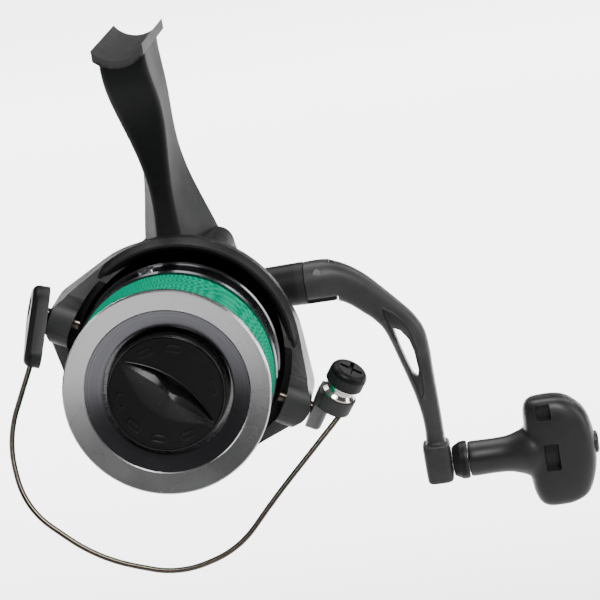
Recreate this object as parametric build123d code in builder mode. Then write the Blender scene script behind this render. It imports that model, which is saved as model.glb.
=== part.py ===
"""Spinning reel: foot and gearbox, folding power handle, rotor with bail, and a spool with a front drag."""
from build123d import *
import math
import os

os.makedirs("parts", exist_ok=True)

# ---------------------------------------------------------------- driving dimensions (mm, degrees)
# Origin: on the fishing rod's axis, above the middle of the reel foot. +Z points from the reel to the rod,
# the spool faces -Y and the handle is on the +X side.
SEAT_R = 11.0            # radius of the trough that sits on the rod's reel seat
FOOT_LENGTH = 72.0
FOOT_WIDTH = 18.4
FOOT_THICKNESS = 2.6
AXIS_DROP = 115.5        # from the bottom of the trough down to the spool's axis
AXIS_Z = -(SEAT_R + AXIS_DROP)

LIP_R = 37.0             # spool lip
LIP_Y = -60.0            # front of the spool lip
WELL_R = 23.3            # drag well in the front of the spool
ARBOR_R = 27.0
SKIRT_R = 36.6
SKIRT_END_Y = -10.0
SHAFT_R = 2.5            # main shaft
RUN = 0.06               # radial running clearance
STROKE = 24.0            # spool travel, front to back

ROTOR_ANGLE = 28.4       # how far the rotor stands turned at rest, clockwise from the front
RIM_R = 44.3
CUP_R = 39.6             # inside of the rotor's cup
ARM_TIP = 41.5           # centre of the rounded arm ends, out from the axis
ARM_TIP_R = 9.5
POCKET_LENGTH, POCKET_WIDTH = 13.6, 9.0      # long hole in each arm, closed by the arm's cover
PIVOT_S = 10.0           # bail pivot, in front of the foot's middle
PIVOT_P = ARM_TIP + ARM_TIP_R

CRANK_Y = 42.0           # handle axis
CRANK_RISE = 11.2        # handle axis above the spool axis
CRANK_R = 78.0           # handle axis to knob axis
CRANK_Z = AXIS_Z + CRANK_RISE
KNOB_Z = CRANK_Z - CRANK_R
GEAR_TEETH = 48
PINION_TEETH = 10
PINION_PITCH_R = 4.82
MESH_Y = 27.5            # middle of the pinion's helical teeth
SPUR_TEETH = 12
WORM_TEETH = 20
SPUR_MODULE = 0.8
WORM_DISTANCE = SPUR_MODULE * (SPUR_TEETH + WORM_TEETH) / 2
WORM_X = 7.0             # worm shaft beside and below the spool axis, clear of the drive gear
WORM_DROP = math.sqrt(WORM_DISTANCE ** 2 - WORM_X ** 2)
WORM_Z = AXIS_Z - WORM_DROP

SPLIT_X = 9.0            # joint face between the gearbox and its side cover
BOX_LEFT_X = -18.0
BOX_RIGHT_X = 20.0
WALL = 2.4

SPOOL_AXIS = Axis((0, 0, AXIS_Z), (0, 1, 0))
CRANK_AXIS = Axis((0, CRANK_Y, CRANK_Z), (1, 0, 0))
KNOB_AXIS = Axis((0, CRANK_Y, KNOB_Z), (1, 0, 0))
AXIAL = Plane(origin=(0, 0, AXIS_Z), x_dir=(0, 1, 0), z_dir=(1, 0, 0))
CRANK_PLANE = Plane(origin=(0, CRANK_Y, CRANK_Z), x_dir=(1, 0, 0), z_dir=(0, -1, 0))
KNOB_PLANE = Plane(origin=(0, CRANK_Y, KNOB_Z), x_dir=(1, 0, 0), z_dir=(0, -1, 0))
TURN = math.radians(ROTOR_ANGLE)
ROTOR_FRAME = Plane(origin=(0, 0, AXIS_Z), x_dir=(math.cos(TURN), 0, -math.sin(TURN)), z_dir=(0, -1, 0))


# ---------------------------------------------------------------- helpers
def front_face(y, x=0.0, z=AXIS_Z):
    """A plane that faces the front (-Y), with its own x along +X and y along +Z."""
    return Plane(origin=(x, y, z), x_dir=(1, 0, 0), z_dir=(0, -1, 0))


def side_face(x):
    """A plane that faces +X, with coordinates (y, height above the spool axis)."""
    return Plane(origin=(x, 0, AXIS_Z), x_dir=(0, 1, 0), z_dir=(1, 0, 0))


def on_rotor(plane):
    """Carry a plane given in the rotor's own frame (arm direction, across, forward) into place."""
    return Plane(ROTOR_FRAME.location * plane.location)


def turn(points, plane=AXIAL, axis=SPOOL_AXIS, mode=Mode.ADD):
    """Revolve a closed profile of (along the axis, radius) points."""
    with BuildSketch(plane) as profile:
        with BuildLine():
            Polyline(*points, close=True)
        make_face()
    revolve(profile.sketch, axis, 360, mode=mode)


def ring(y0, y1, r_in, r_out):
    """A plain ring about the spool axis from y0 to y1."""
    turn([(y0, r_in), (y1, r_in), (y1, r_out), (y0, r_out)])


def bar(plane, radius, length, mode=Mode.ADD):
    """A round bar that starts on a plane and runs along its normal."""
    with BuildSketch(plane) as section:
        Circle(radius)
    extrude(section.sketch, length, mode=mode)


def block(plane, outline, length, mode=Mode.ADD, taper=0.0):
    """A prism with a polygonal outline, raised from a plane."""
    with BuildSketch(plane) as section:
        with BuildLine():
            Polyline(*outline, close=True)
        make_face()
    extrude(section.sketch, length, mode=mode, taper=taper)


def gear_face(teeth, r_root, r_tip, fill, phase=0.0):
    """The outline of a straight-sided gear; fill is the tooth's share of the pitch, phase is in degrees."""
    points = []
    for tooth in range(teeth):
        middle = 2 * math.pi * tooth / teeth + math.radians(phase)
        half = math.pi / teeth * fill
        for radius, angle in ((r_root, -1.35), (r_tip, -0.62), (r_tip, 0.62), (r_root, 1.35)):
            points.append((radius * math.cos(middle + half * angle), radius * math.sin(middle + half * angle)))
    return points


def far_face(builder, plane):
    """The face farthest along a plane's normal."""
    return builder.faces().sort_by(lambda face: (face.center() - plane.origin).dot(plane.z_dir))[-1]


def broad_edges(builder):
    """The edges of the front and back faces."""
    faces = builder.faces().sort_by(Axis.Y)
    return faces[0].edges() + faces[-1].edges()


def keep(builder, label):
    """Name a finished piece and write it."""
    builder.part.label = label
    export_step(builder.part, "parts/" + label + ".step")


# ---------------------------------------------------------------- gearbox, stem and foot
BOX_FRONT_Y = 19.6
BOX_OUTLINE = [(BOX_FRONT_Y, -21.0), (24.0, -25.0), (66.0, -24.0), (86.0, -13.0), (87.0, 9.0), (72.0, 25.0),
               (60.0, 35.0), (28.0, 35.0), (BOX_FRONT_Y, 27.0)]
COLLAR_R = 16.5
COLLAR_Y = 10.9
REAR_SPLIT_Y = 79.0
# Stem sections from the foot down: height above the spool axis, front y, back y, front and back widths.
BUSH_SEATS = ((24.5, 2.8), (84.0, 8.0))                    # back end and depth of the worm shaft's seats
GUIDE_RODS = ((-1.5, -12.6, 36.5), (7.2, 2.6, 43.0))      # x, height above the spool axis, length
STEM_SECTIONS = [(119.0, -27.0, 29.0, 17.0, 15.0), (108.0, -25.0, 28.0, 17.5, 15.0),
                 (95.0, -9.0, 30.0, 17.5, 16.0), (78.0, 8.0, 37.0, 13.0, 15.0), (62.0, 16.5, 46.0, 8.5, 18.0),
                 (46.0, 18.8, 56.0, 8.0, 25.0), (30.0, 20.0, 66.0, 11.0, 32.0)]


def box_solid(inset, x0, x1, mode=Mode.ADD):
    """The gearbox outline, grown inward by inset, between two x positions."""
    with BuildSketch(side_face(x0)) as section:
        with BuildLine():
            Polyline(*BOX_OUTLINE, close=True)
        make_face()
        fillet(section.vertices(), 5.0)
        if inset:
            offset(amount=-inset, mode=Mode.REPLACE)
    extrude(section.sketch, x1 - x0, mode=mode)


with BuildPart() as stem:
    for height, y_front, y_back, w_front, w_back in STEM_SECTIONS:
        with BuildSketch(Plane.XY.offset(AXIS_Z + height)) as stem_section:
            with BuildLine():
                Polyline((-w_front / 2, y_front), (w_front / 2, y_front), (w_back / 2, y_back),
                         (-w_back / 2, y_back), close=True)
            make_face()
            fillet(stem_section.vertices(), 2.4)
    loft()

with BuildPart() as body_housing:
    box_solid(0.0, BOX_LEFT_X, SPLIT_X)
    fillet(body_housing.faces().sort_by(Axis.X)[0].edges(), 6.5)
    add(stem.part)
    with BuildSketch(Plane.XZ.offset(-FOOT_LENGTH / 2)) as foot_section:
        Circle(SEAT_R + FOOT_THICKNESS)
        Circle(SEAT_R, mode=Mode.SUBTRACT)
        with Locations((0, -SEAT_R)):
            Rectangle(FOOT_WIDTH, 2 * SEAT_R, mode=Mode.INTERSECT)
    extrude(foot_section.sketch, FOOT_LENGTH)
    bar(Plane.XZ.offset(-FOOT_LENGTH), SEAT_R, 2 * FOOT_LENGTH, mode=Mode.SUBTRACT)
    bar(front_face(BOX_FRONT_Y + 0.5), COLLAR_R, BOX_FRONT_Y + 0.5 - COLLAR_Y)
    # Gear room, then the bulkhead that holds the back of the pinion.
    box_solid(WALL, BOX_LEFT_X + WALL, SPLIT_X + 1, mode=Mode.SUBTRACT)
    block(side_face(BOX_LEFT_X + 1), [(36.4, -24), (39.6, -24), (39.6, 6.3), (36.4, 6.3)],
          SPLIT_X - BOX_LEFT_X - 1)
    block(side_face(-12.0), [(77.8, -22), (81.2, -22), (81.2, 8), (77.8, 8)], SPLIT_X + 12.0)
    # Bores about the spool axis: clutch seat, front bearing seat, pinion and shaft.
    turn([(COLLAR_Y - 1, 0), (17.0, 0), (17.0, 12.0), (COLLAR_Y - 1, 12.0)], mode=Mode.SUBTRACT)
    turn([(COLLAR_Y - 1, 0), (COLLAR_Y + 0.6, 0), (COLLAR_Y + 0.6, 14.5), (COLLAR_Y - 1, 14.5)],
         mode=Mode.SUBTRACT)
    turn([(16, 0), (21.3, 0), (21.3, 9.0), (16, 9.0)], mode=Mode.SUBTRACT)
    turn([(20, 0), (24, 0), (24, 7.2), (20, 7.2)], mode=Mode.SUBTRACT)
    turn([(36, 0), (40, 0), (40, 6.0), (36, 6.0)], mode=Mode.SUBTRACT)
    turn([(77, 0), (82, 0), (82, 3.2), (77, 3.2)], mode=Mode.SUBTRACT)
    # The drive gear's room through the bulkhead, its bearing seat and the opening on the left side.
    bar(Plane(origin=(-15.4, CRANK_Y, CRANK_Z), z_dir=(1, 0, 0)), 21.0, 12.2, mode=Mode.SUBTRACT)
    bar(Plane(origin=(BOX_LEFT_X + 0.5, CRANK_Y, CRANK_Z), z_dir=(1, 0, 0)), 10.0, 6.0)
    bar(Plane(origin=(-14.9, CRANK_Y, CRANK_Z), z_dir=(1, 0, 0)), 8.0, 4.0, mode=Mode.SUBTRACT)
    bar(Plane(origin=(-20, CRANK_Y, CRANK_Z), z_dir=(1, 0, 0)), 6.0, 8.0, mode=Mode.SUBTRACT)
    # Worm shaft bushes and guide rods.
    for y0, depth in BUSH_SEATS:
        bar(front_face(y0, WORM_X, WORM_Z), 3.6, depth, mode=Mode.SUBTRACT)
    bar(front_face(40.0, WORM_X, WORM_Z), 4.0, 4.0, mode=Mode.SUBTRACT)
    for x, rise, length in GUIDE_RODS:
        bar(front_face(82.0, x, AXIS_Z + rise), 1.25 + 0.02, length + 1.4, mode=Mode.SUBTRACT)
    # Back end stays open under the rear cover.
    block(side_face(-30), [(REAR_SPLIT_Y + 2.6, -30), (100, -30), (100, 40), (REAR_SPLIT_Y + 2.6, 40)], 60,
          mode=Mode.SUBTRACT)
    bar(Plane(origin=(-4.0, 34.0, AXIS_Z - 30.0), z_dir=(0, 0, 1)), 2.0, 12.0, mode=Mode.SUBTRACT)
    # Screw holes in the joint face of the side cover.
    with Locations(side_face(SPLIT_X)):
        with Locations((26.5, 31.0), (63.0, 27.0), (26.0, -20.5), (65.0, -19.4)):
            Cylinder(3.0, 10.0, align=(Align.CENTER, Align.CENTER, Align.MAX))
            Cylinder(1.3, 9.0, align=(Align.CENTER, Align.CENTER, Align.MAX), mode=Mode.SUBTRACT)
keep(body_housing, "body_housing")

# ---------------------------------------------------------------- covers and fasteners of the gearbox
COVER_SCREWS = ((26.5, 31.0), (63.0, 27.0), (26.0, -20.5), (65.0, -19.4))
with BuildPart() as side_cover:
    box_solid(0.0, SPLIT_X, BOX_RIGHT_X)
    fillet(side_cover.faces().sort_by(Axis.X)[-1].edges(), 6.5)
    box_solid(WALL, SPLIT_X - 1, BOX_RIGHT_X - WALL, mode=Mode.SUBTRACT)
    bar(Plane(origin=(13.0, CRANK_Y, CRANK_Z), z_dir=(1, 0, 0)), 10.0, 8.0)
    bar(Plane(origin=(8.0, CRANK_Y, CRANK_Z), z_dir=(1, 0, 0)), 8.0, 9.5, mode=Mode.SUBTRACT)
    bar(Plane(origin=(17.0, CRANK_Y, CRANK_Z), z_dir=(1, 0, 0)), 6.0, 5.0, mode=Mode.SUBTRACT)
    block(side_face(-30), [(REAR_SPLIT_Y + 2.6, -30), (100, -30), (100, 40), (REAR_SPLIT_Y + 2.6, 40)], 60,
          mode=Mode.SUBTRACT)
    with Locations(side_face(SPLIT_X)):
        with Locations(*COVER_SCREWS):
            Cylinder(3.0, 7.5, align=(Align.CENTER, Align.CENTER, Align.MIN))
            Cylinder(1.45, 20.0, align=(Align.CENTER, Align.CENTER, Align.MIN), mode=Mode.SUBTRACT)
    with Locations(side_face(SPLIT_X + 6.0)):
        with Locations(*COVER_SCREWS):
            Cylinder(2.6, 20.0, align=(Align.CENTER, Align.CENTER, Align.MIN), mode=Mode.SUBTRACT)
    add(body_housing.part, mode=Mode.SUBTRACT)
    for y0, depth in BUSH_SEATS:
        bar(front_face(y0, WORM_X, WORM_Z), 3.6, depth, mode=Mode.SUBTRACT)
keep(side_cover, "side_cover")

with BuildPart() as cover_screws:
    with Locations(side_face(SPLIT_X - 6.0)):
        with Locations(*COVER_SCREWS):
            Cylinder(1.25, 12.1, align=(Align.CENTER, Align.CENTER, Align.MIN))
    with Locations(side_face(SPLIT_X + 6.05)):
        with Locations(*COVER_SCREWS):
            Cylinder(2.4, 1.9, align=(Align.CENTER, Align.CENTER, Align.MIN))
    with Locations(side_face(SPLIT_X + 7.95)):
        with Locations(*COVER_SCREWS):
            Box(3.0, 0.7, 1.6, mode=Mode.SUBTRACT)
            Box(0.7, 3.0, 1.6, mode=Mode.SUBTRACT)
keep(cover_screws, "cover_screws")

with BuildPart() as rear_cover:
    box_solid(-0.6, BOX_LEFT_X - 0.6, BOX_RIGHT_X + 0.6)
    fillet(rear_cover.faces().sort_by(Axis.X)[0].edges(), 6.0)
    fillet(rear_cover.faces().sort_by(Axis.X)[-1].edges(), 6.0)
    block(side_face(-30), [(0, -40), (REAR_SPLIT_Y + 2.7, -40), (REAR_SPLIT_Y + 2.7, 50), (0, 50)], 60,
          mode=Mode.SUBTRACT)
    with BuildSketch(front_face(84.6, x=(BOX_LEFT_X + BOX_RIGHT_X) / 2, z=AXIS_Z - 2.0)) as rear_room:
        RectangleRounded(28.0, 16.0, 4.0)
    extrude(rear_room.sketch, 6.0, mode=Mode.SUBTRACT)
keep(rear_cover, "rear_cover")

with BuildPart() as shaft_cap:
    bar(Plane(origin=(BOX_LEFT_X - 0.05, CRANK_Y, CRANK_Z), z_dir=(-1, 0, 0)), 10.5, 5.0)
    fillet(shaft_cap.faces().sort_by(Axis.X)[0].edges(), 1.6)
    bar(Plane(origin=(BOX_LEFT_X - 0.5, CRANK_Y, CRANK_Z), z_dir=(1, 0, 0)), 5.95, 2.4)
    with BuildSketch(Plane(origin=(BOX_LEFT_X - 6.0, CRANK_Y, CRANK_Z), z_dir=(1, 0, 0))) as cap_flutes:
        with PolarLocations(11.3, 12):
            Circle(1.5)
    extrude(cap_flutes.sketch, 4.4, mode=Mode.SUBTRACT)
keep(shaft_cap, "shaft_cap")


def race_pair(plane, r_bore, r_outside, width):
    """Two races and their balls on a plane, as separate solids of one bearing."""
    r_ball_circle = (r_bore + r_outside) / 2
    r_ball = (r_outside - r_bore) * 0.24
    with BuildSketch(plane) as races:
        Circle(r_outside)
        Circle(r_ball_circle + r_ball * 0.62, mode=Mode.SUBTRACT)
        Circle(r_ball_circle - r_ball * 0.62)
        Circle(r_bore, mode=Mode.SUBTRACT)
    extrude(races.sketch, width)
    middle = Plane(origin=plane.origin + plane.z_dir * (width / 2), x_dir=plane.x_dir, z_dir=plane.z_dir)
    with BuildSketch(middle) as shield:
        Circle(r_ball_circle + r_ball * 0.7)
        Circle(r_ball_circle - r_ball * 0.7, mode=Mode.SUBTRACT)
    extrude(shield.sketch, width * 0.3, both=True)


SHAFT_BORE = 4.5
LEFT_SEAT = Plane(origin=(-14.85, CRANK_Y, CRANK_Z), z_dir=(1, 0, 0))
RIGHT_SEAT = Plane(origin=(13.6, CRANK_Y, CRANK_Z), z_dir=(1, 0, 0))
BEARINGS = {
    "drive_bearing_left": (LEFT_SEAT, SHAFT_BORE + RUN, 7.97, 3.2),
    "drive_bearing_right": (RIGHT_SEAT, SHAFT_BORE + RUN, 7.97, 3.2),
    "pinion_bearing_front": (front_face(21.2), 5.0 + RUN, 8.97, 3.8),
    "pinion_bearing_rear": (front_face(39.4), 3.5 + RUN, 5.97, 3.0),
}
for bearing_name, (bearing_plane, bore, outside, width) in BEARINGS.items():
    with BuildPart() as ball_bearing:
        race_pair(bearing_plane, bore, outside, width)
    keep(ball_bearing, bearing_name)

with BuildPart() as one_way_clutch:
    ring(11.7, 16.8, 8.4, 11.95)
    ring(11.7, 16.8, 5.0 + RUN, 6.3)
    with BuildSketch(front_face(16.8)) as rollers:
        with PolarLocations(7.35, 8):
            Circle(1.1)
    extrude(rollers.sketch, 5.1)
keep(one_way_clutch, "one_way_clutch")

with BuildPart() as clutch_retainer:
    ring(COLLAR_Y + 0.02, COLLAR_Y + 0.58, 7.0, 14.4)
keep(clutch_retainer, "clutch_retainer")

with BuildPart() as guide_rods:
    for x, rise, length in GUIDE_RODS:
        bar(front_face(81.0, x, AXIS_Z + rise), 1.25, length)
keep(guide_rods, "guide_rods")

with BuildPart() as worm_bushes:
    for y0, depth in ((24.4, 2.6), (81.4, 3.4)):
        with BuildSketch(front_face(y0, WORM_X, WORM_Z)) as bush:
            Circle(3.57)
            Circle(2.0 + RUN, mode=Mode.SUBTRACT)
        extrude(bush.sketch, depth)
keep(worm_bushes, "worm_bushes")

# ---------------------------------------------------------------- drive train
GEAR_FACE_X = -6.2
GEAR_TIP_X = -3.95
GEAR_RING = (16.6, 19.4)
MESH_ANGLE = math.degrees(math.atan2(-CRANK_RISE, MESH_Y - CRANK_Y))

with BuildPart() as drive_gear:
    gear_plane = Plane(origin=(0, CRANK_Y, CRANK_Z), x_dir=(0, 1, 0), z_dir=(1, 0, 0))
    turn([(-9.6, 3.05), (17.0, 3.05), (17.0, SHAFT_BORE), (-7.4, SHAFT_BORE), (-7.4, 15.4), (GEAR_FACE_X, 16.4),
          (GEAR_FACE_X, 19.6), (-9.0, 19.6), (-9.6, 18.8)],
         plane=Plane(origin=(0, CRANK_Y, CRANK_Z), x_dir=(1, 0, 0), z_dir=(0, 1, 0)), axis=CRANK_AXIS)
    turn([(-15.0, 3.05), (-9.5, 3.05), (-9.5, 6.0), (-11.5, 6.0), (-11.5, SHAFT_BORE), (-15.0, SHAFT_BORE)],
         plane=Plane(origin=(0, CRANK_Y, CRANK_Z), x_dir=(1, 0, 0), z_dir=(0, 1, 0)), axis=CRANK_AXIS)
    tooth_length = GEAR_RING[1] - GEAR_RING[0]
    with BuildSketch(gear_plane.offset(GEAR_FACE_X - 0.3)) as face_teeth:
        with PolarLocations(sum(GEAR_RING) / 2, GEAR_TEETH, start_angle=MESH_ANGLE):
            Rectangle(tooth_length, 0.78)
    extrude(face_teeth.sketch, GEAR_TIP_X - GEAR_FACE_X + 0.3)
    with BuildSketch(gear_plane.offset(-9.7)) as lightening:
        with PolarLocations(11.0, 6):
            Circle(2.1)
    extrude(lightening.sketch, 3.0, mode=Mode.SUBTRACT)
keep(drive_gear, "drive_gear")

HELIX_SIN = CRANK_RISE / math.hypot(CRANK_RISE, CRANK_Y - MESH_Y)
HELIX_TWIST = math.degrees(math.tan(math.asin(HELIX_SIN)) / PINION_PITCH_R)
MESH_LENGTH = 8.0
with BuildPart() as pinion_gear:
    turn([(-8.0, SHAFT_R + RUN), (43.5, SHAFT_R + RUN), (43.5, 3.0), (39.6, 3.0), (39.6, 3.5), (36.0, 3.5),
          (35.2, 3.6), (23.2, 3.6), (23.2, 4.9), (22.0, 5.0), (-3.0, 5.0), (-3.0, 4.0), (-8.0, 4.0)])
    back = MESH_Y + MESH_LENGTH / 2
    half_twist = HELIX_TWIST * MESH_LENGTH / 2
    with BuildSketch(front_face(back)) as tooth_section:
        with BuildLine():
            Polyline(*gear_face(PINION_TEETH, 3.5, 5.7, 0.35, 180 / PINION_TEETH - half_twist), close=True)
        make_face()
        Circle(3.4, mode=Mode.SUBTRACT)
    helix_solid = Solid.extrude_linear_with_rotation(tooth_section.sketch.faces()[0], (0, back, AXIS_Z),
                                                     (0, -MESH_LENGTH, 0), HELIX_TWIST * MESH_LENGTH)
    add(helix_solid)
    with BuildSketch(front_face(43.5)) as spur_section:
        with BuildLine():
            Polyline(*gear_face(SPUR_TEETH, 3.85, 5.5, 0.42), close=True)
        make_face()
        Circle(2.9, mode=Mode.SUBTRACT)
    extrude(spur_section.sketch, 3.8)
keep(pinion_gear, "pinion_gear")

# The worm gear's gap faces the pinion's spur tooth that stands nearest to the line between their centres.
WORM_DIRECTION = math.degrees(math.atan2(-WORM_DROP, WORM_X))
SPUR_TOOTH = round(WORM_DIRECTION * SPUR_TEETH / 360) * 360 / SPUR_TEETH
WORM_PHASE = (WORM_DIRECTION + 180 - (SPUR_TOOTH - WORM_DIRECTION) * SPUR_TEETH / WORM_TEETH
              + 180 / WORM_TEETH)
with BuildPart() as worm_gear:
    with BuildSketch(front_face(43.4, WORM_X, WORM_Z)) as wheel:
        with BuildLine():
            Polyline(*gear_face(WORM_TEETH, 7.05, 8.7, 0.42, WORM_PHASE), close=True)
        make_face()
        Circle(2.02, mode=Mode.SUBTRACT)
    extrude(wheel.sketch, 3.6)
keep(worm_gear, "worm_gear")

with BuildPart() as worm_shaft:
    bar(front_face(81.2, WORM_X, WORM_Z), 2.0, 59.2)
    worm_line = Plane(origin=(WORM_X, 0, WORM_Z), x_dir=(0, 1, 0), z_dir=(1, 0, 0))
    worm_axis = Axis((WORM_X, 0, WORM_Z), (0, 1, 0))
    turn([(44.4, 1.9), (76.6, 1.9), (76.6, 3.0), (44.4, 3.0)], plane=worm_line, axis=worm_axis)
    # Level-wind grooves: crossed slots at an even pitch round the thread.
    for step in range(9):
        groove = 46.0 + 3.4 * step
        turn([(groove, 2.5), (groove + 1.2, 2.5), (groove + 1.2, 3.2), (groove, 3.2)],
             plane=worm_line, axis=worm_axis, mode=Mode.SUBTRACT)
keep(worm_shaft, "worm_shaft")

SLIDER_Y = (46.4, 51.4)
with BuildPart() as main_shaft:
    turn([(-54.5, 0), (52.6, 0), (52.6, SHAFT_R), (-34.5, SHAFT_R), (-34.5, 5.2), (-36.4, 5.2),
          (-36.4, SHAFT_R), (-54.5, SHAFT_R)])
    with BuildSketch(front_face(52.4)) as shaft_flat:
        with Locations((0, 3.0)):
            Rectangle(8.0, 2.0)
    extrude(shaft_flat.sketch, 6.5, mode=Mode.SUBTRACT)
keep(main_shaft, "main_shaft")

with BuildPart() as oscillation_slider:
    slider_plane = front_face(SLIDER_Y[1])
    block(slider_plane, [(-3.6, 4.6), (9.7, 4.6), (9.7, -0.4), (11.4, -7.0), (11.4, -14.4), (-3.6, -14.4)],
          SLIDER_Y[1] - SLIDER_Y[0])
    bar(slider_plane.offset(-1), SHAFT_R + 0.02, 12, mode=Mode.SUBTRACT)
    bar(front_face(SLIDER_Y[1] + 1, WORM_X, WORM_Z), 3.1, 12, mode=Mode.SUBTRACT)
    for x, rise, _ in GUIDE_RODS:
        bar(front_face(SLIDER_Y[1] + 1, x, AXIS_Z + rise), 1.25 + RUN, 12, mode=Mode.SUBTRACT)
    bar(Plane(origin=(0, sum(SLIDER_Y) / 2, AXIS_Z + 2.0), z_dir=(0, 0, 1)), 0.92, 4.0, mode=Mode.SUBTRACT)
keep(oscillation_slider, "oscillation_slider")

with BuildPart() as slider_screw:
    bar(Plane(origin=(0, sum(SLIDER_Y) / 2, AXIS_Z + 4.65), z_dir=(0, 0, 1)), 2.0, 1.4)
    bar(Plane(origin=(0, sum(SLIDER_Y) / 2, AXIS_Z + 4.65), z_dir=(0, 0, -1)), 0.9, 2.0)
keep(slider_screw, "slider_screw")

# ---------------------------------------------------------------- rotor
def arm_pocket(side, grow):
    """The long hole for an arm cover, seen along the arm; grow widens it all round."""
    with BuildSketch(on_rotor(Plane(origin=(side * 44.6, 0, 0), x_dir=(0, 1, 0), z_dir=(side, 0, 0)))) as shape:
        with Locations((0, -2.6 * side)):
            SlotOverall(POCKET_LENGTH + 2 * grow, POCKET_WIDTH + 2 * grow)
    return shape.sketch


# The arms' outline: two round tips, joined to the rim by straight tangents.
lean = math.acos((RIM_R - ARM_TIP_R) / ARM_TIP)
rim_x, rim_y = RIM_R * math.cos(lean), RIM_R * math.sin(lean)
tip_x, tip_y = ARM_TIP + ARM_TIP_R * math.cos(lean), ARM_TIP_R * math.sin(lean)
with BuildPart() as arms:
    with BuildSketch(on_rotor(Plane.XY.offset(-14.0))) as shoulders:
        with BuildLine():
            ThreePointArc((rim_x, rim_y), (0, RIM_R - 2.0), (-rim_x, rim_y))
            Line((-rim_x, rim_y), (-tip_x, tip_y))
            ThreePointArc((-tip_x, tip_y), (-ARM_TIP - ARM_TIP_R, 0), (-tip_x, -tip_y))
            Line((-tip_x, -tip_y), (-rim_x, -rim_y))
            ThreePointArc((-rim_x, -rim_y), (0, 2.0 - RIM_R), (rim_x, -rim_y))
            Line((rim_x, -rim_y), (tip_x, -tip_y))
            ThreePointArc((tip_x, -tip_y), (ARM_TIP + ARM_TIP_R, 0), (tip_x, tip_y))
            Line((tip_x, tip_y), (rim_x, rim_y))
        make_face()
    extrude(shoulders.sketch, 40.0)
    with BuildSketch(on_rotor(Plane.YZ.offset(-60.0))) as side_shape:
        with BuildLine():
            Polyline((9.5, 10.5), (20.0, 3.0), (36.0, -5.5), (36.0, -8.0), (20.0, -14.0), (-20.0, -14.0),
                     (-36.0, -8.0), (-36.0, -5.5), (-20.0, 3.0), (-9.5, 10.5))
            ThreePointArc((-9.5, 10.5), (0, 20.0), (9.5, 10.5))
        make_face()
    extrude(side_shape.sketch, 120.0, mode=Mode.INTERSECT)
    turn([(-40, 0), (14.5, 0), (14.5, 38.6), (-5.2, 38.6), (-5.2, 41.3), (-40, 41.3)], mode=Mode.SUBTRACT)

with BuildPart() as rotor:
    turn([(-3.0, 5.05), (10.0, 5.05), (10.0, 17.8), (18.5, 17.8), (18.5, 36.0), (16.8, 39.6), (11.0, 42.6),
          (3.5, RIM_R), (-1.5, RIM_R), (-4.8, 42.4), (-4.8, 41.4), (-3.6, 41.2), (-3.6, 40.3), (-1.8, CUP_R),
          (11.5, CUP_R), (15.3, 37.2), (15.3, 20.4), (7.0, 20.4), (7.0, 9.0), (-3.0, 9.0)])
    add(arms.part)
    # Pivot holes and the pockets under the two arm covers.
    for side in (1, -1):
        bar(on_rotor(Plane(origin=(side * 38.0, 0, PIVOT_S), z_dir=(side, 0, 0))), 2.2, 20.0, mode=Mode.SUBTRACT)
        extrude(arm_pocket(side, 0.0), 12.0, mode=Mode.SUBTRACT)
    # The left arm's end falls away round the pivot, where the leaning bail lever swings.
    with BuildSketch(on_rotor(Plane(origin=(0, 0, PIVOT_S), x_dir=(1, 0, 0), z_dir=(0, -1, 0)))) as cone:
        with BuildLine():
            Polyline((-PIVOT_P - 0.35, 3.0), (-PIVOT_P + 2.0, 12.5), (-PIVOT_P - 5.0, 12.5), (-PIVOT_P - 5.0, 3.0),
                     close=True)
        make_face()
    pivot_axis = on_rotor(Plane(origin=(0, 0, PIVOT_S), z_dir=(1, 0, 0)))
    revolve(cone.sketch, Axis(pivot_axis.origin, pivot_axis.z_dir), 360, mode=Mode.SUBTRACT)
keep(rotor, "rotor")

with BuildPart() as rotor_nut:
    with BuildSketch(front_face(-3.05)) as nut_outline:
        RegularPolygon(7.0, 6)
        Circle(4.02, mode=Mode.SUBTRACT)
    extrude(nut_outline.sketch, 4.6)
keep(rotor_nut, "rotor_nut")

with BuildPart() as nut_lock_plate:
    with BuildSketch(front_face(-3.02)) as plate:
        Circle(8.9)
        RegularPolygon(7.1, 6, mode=Mode.SUBTRACT)
    extrude(plate.sketch, 1.0)
keep(nut_lock_plate, "nut_lock_plate")


for side, name in ((1, "arm_cover_right"), (-1, "arm_cover_left")):
    with BuildPart() as arm_cover:
        extrude(arm_pocket(side, -RUN), 12.0)
        bar(on_rotor(Plane(origin=(side * ARM_TIP, 0, -20.0), z_dir=(0, 0, 1))), ARM_TIP_R - 0.02, 60.0,
            mode=Mode.INTERSECT)
        bar(on_rotor(Plane(origin=(side * 44.0, 0, 0), z_dir=(side, 0, 0))), 12.0, 3.4, mode=Mode.SUBTRACT)
    keep(arm_cover, name)

# ---------------------------------------------------------------- bail
LEVER_SLOPE = 0.225        # the lever leans in towards its wire end
ROLLER_P = (58.5, 15.0, 28.0)
ROLLER_LEAN = Vector(0.10, 0.95, 0.28).normalized()
WIRE_R = 1.0
# The wire lies in one plane of the rotor's frame: forward position = base + lean_p * p + lean_q * q.
WIRE_BASE, WIRE_LEAN_P, WIRE_LEAN_Q = 25.8, 0.1055, -0.443
WIRE_PATH = [(-50.5, -12.0), (-48.6, -42.0), (-34.0, -61.0), (-3.0, -67.5), (26.0, -62.5), (43.0, -48.0),
             (49.0, -28.0), (62.3, 8.0)]


def wire_point(p, q):
    """A point of the wire's plane."""
    return Vector(p, q, WIRE_BASE + WIRE_LEAN_P * p + WIRE_LEAN_Q * q)


def soft_radii(points):
    """The largest arc that fits each corner of a path."""
    radii = []
    for before, corner, after in zip(points, points[1:], points[2:]):
        run_in, run_out = corner - before, after - corner
        half_turn = math.radians(run_in.get_angle(run_out)) / 2
        radii.append(0.45 * min(run_in.length, run_out.length) / math.tan(half_turn))
    return radii


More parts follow.
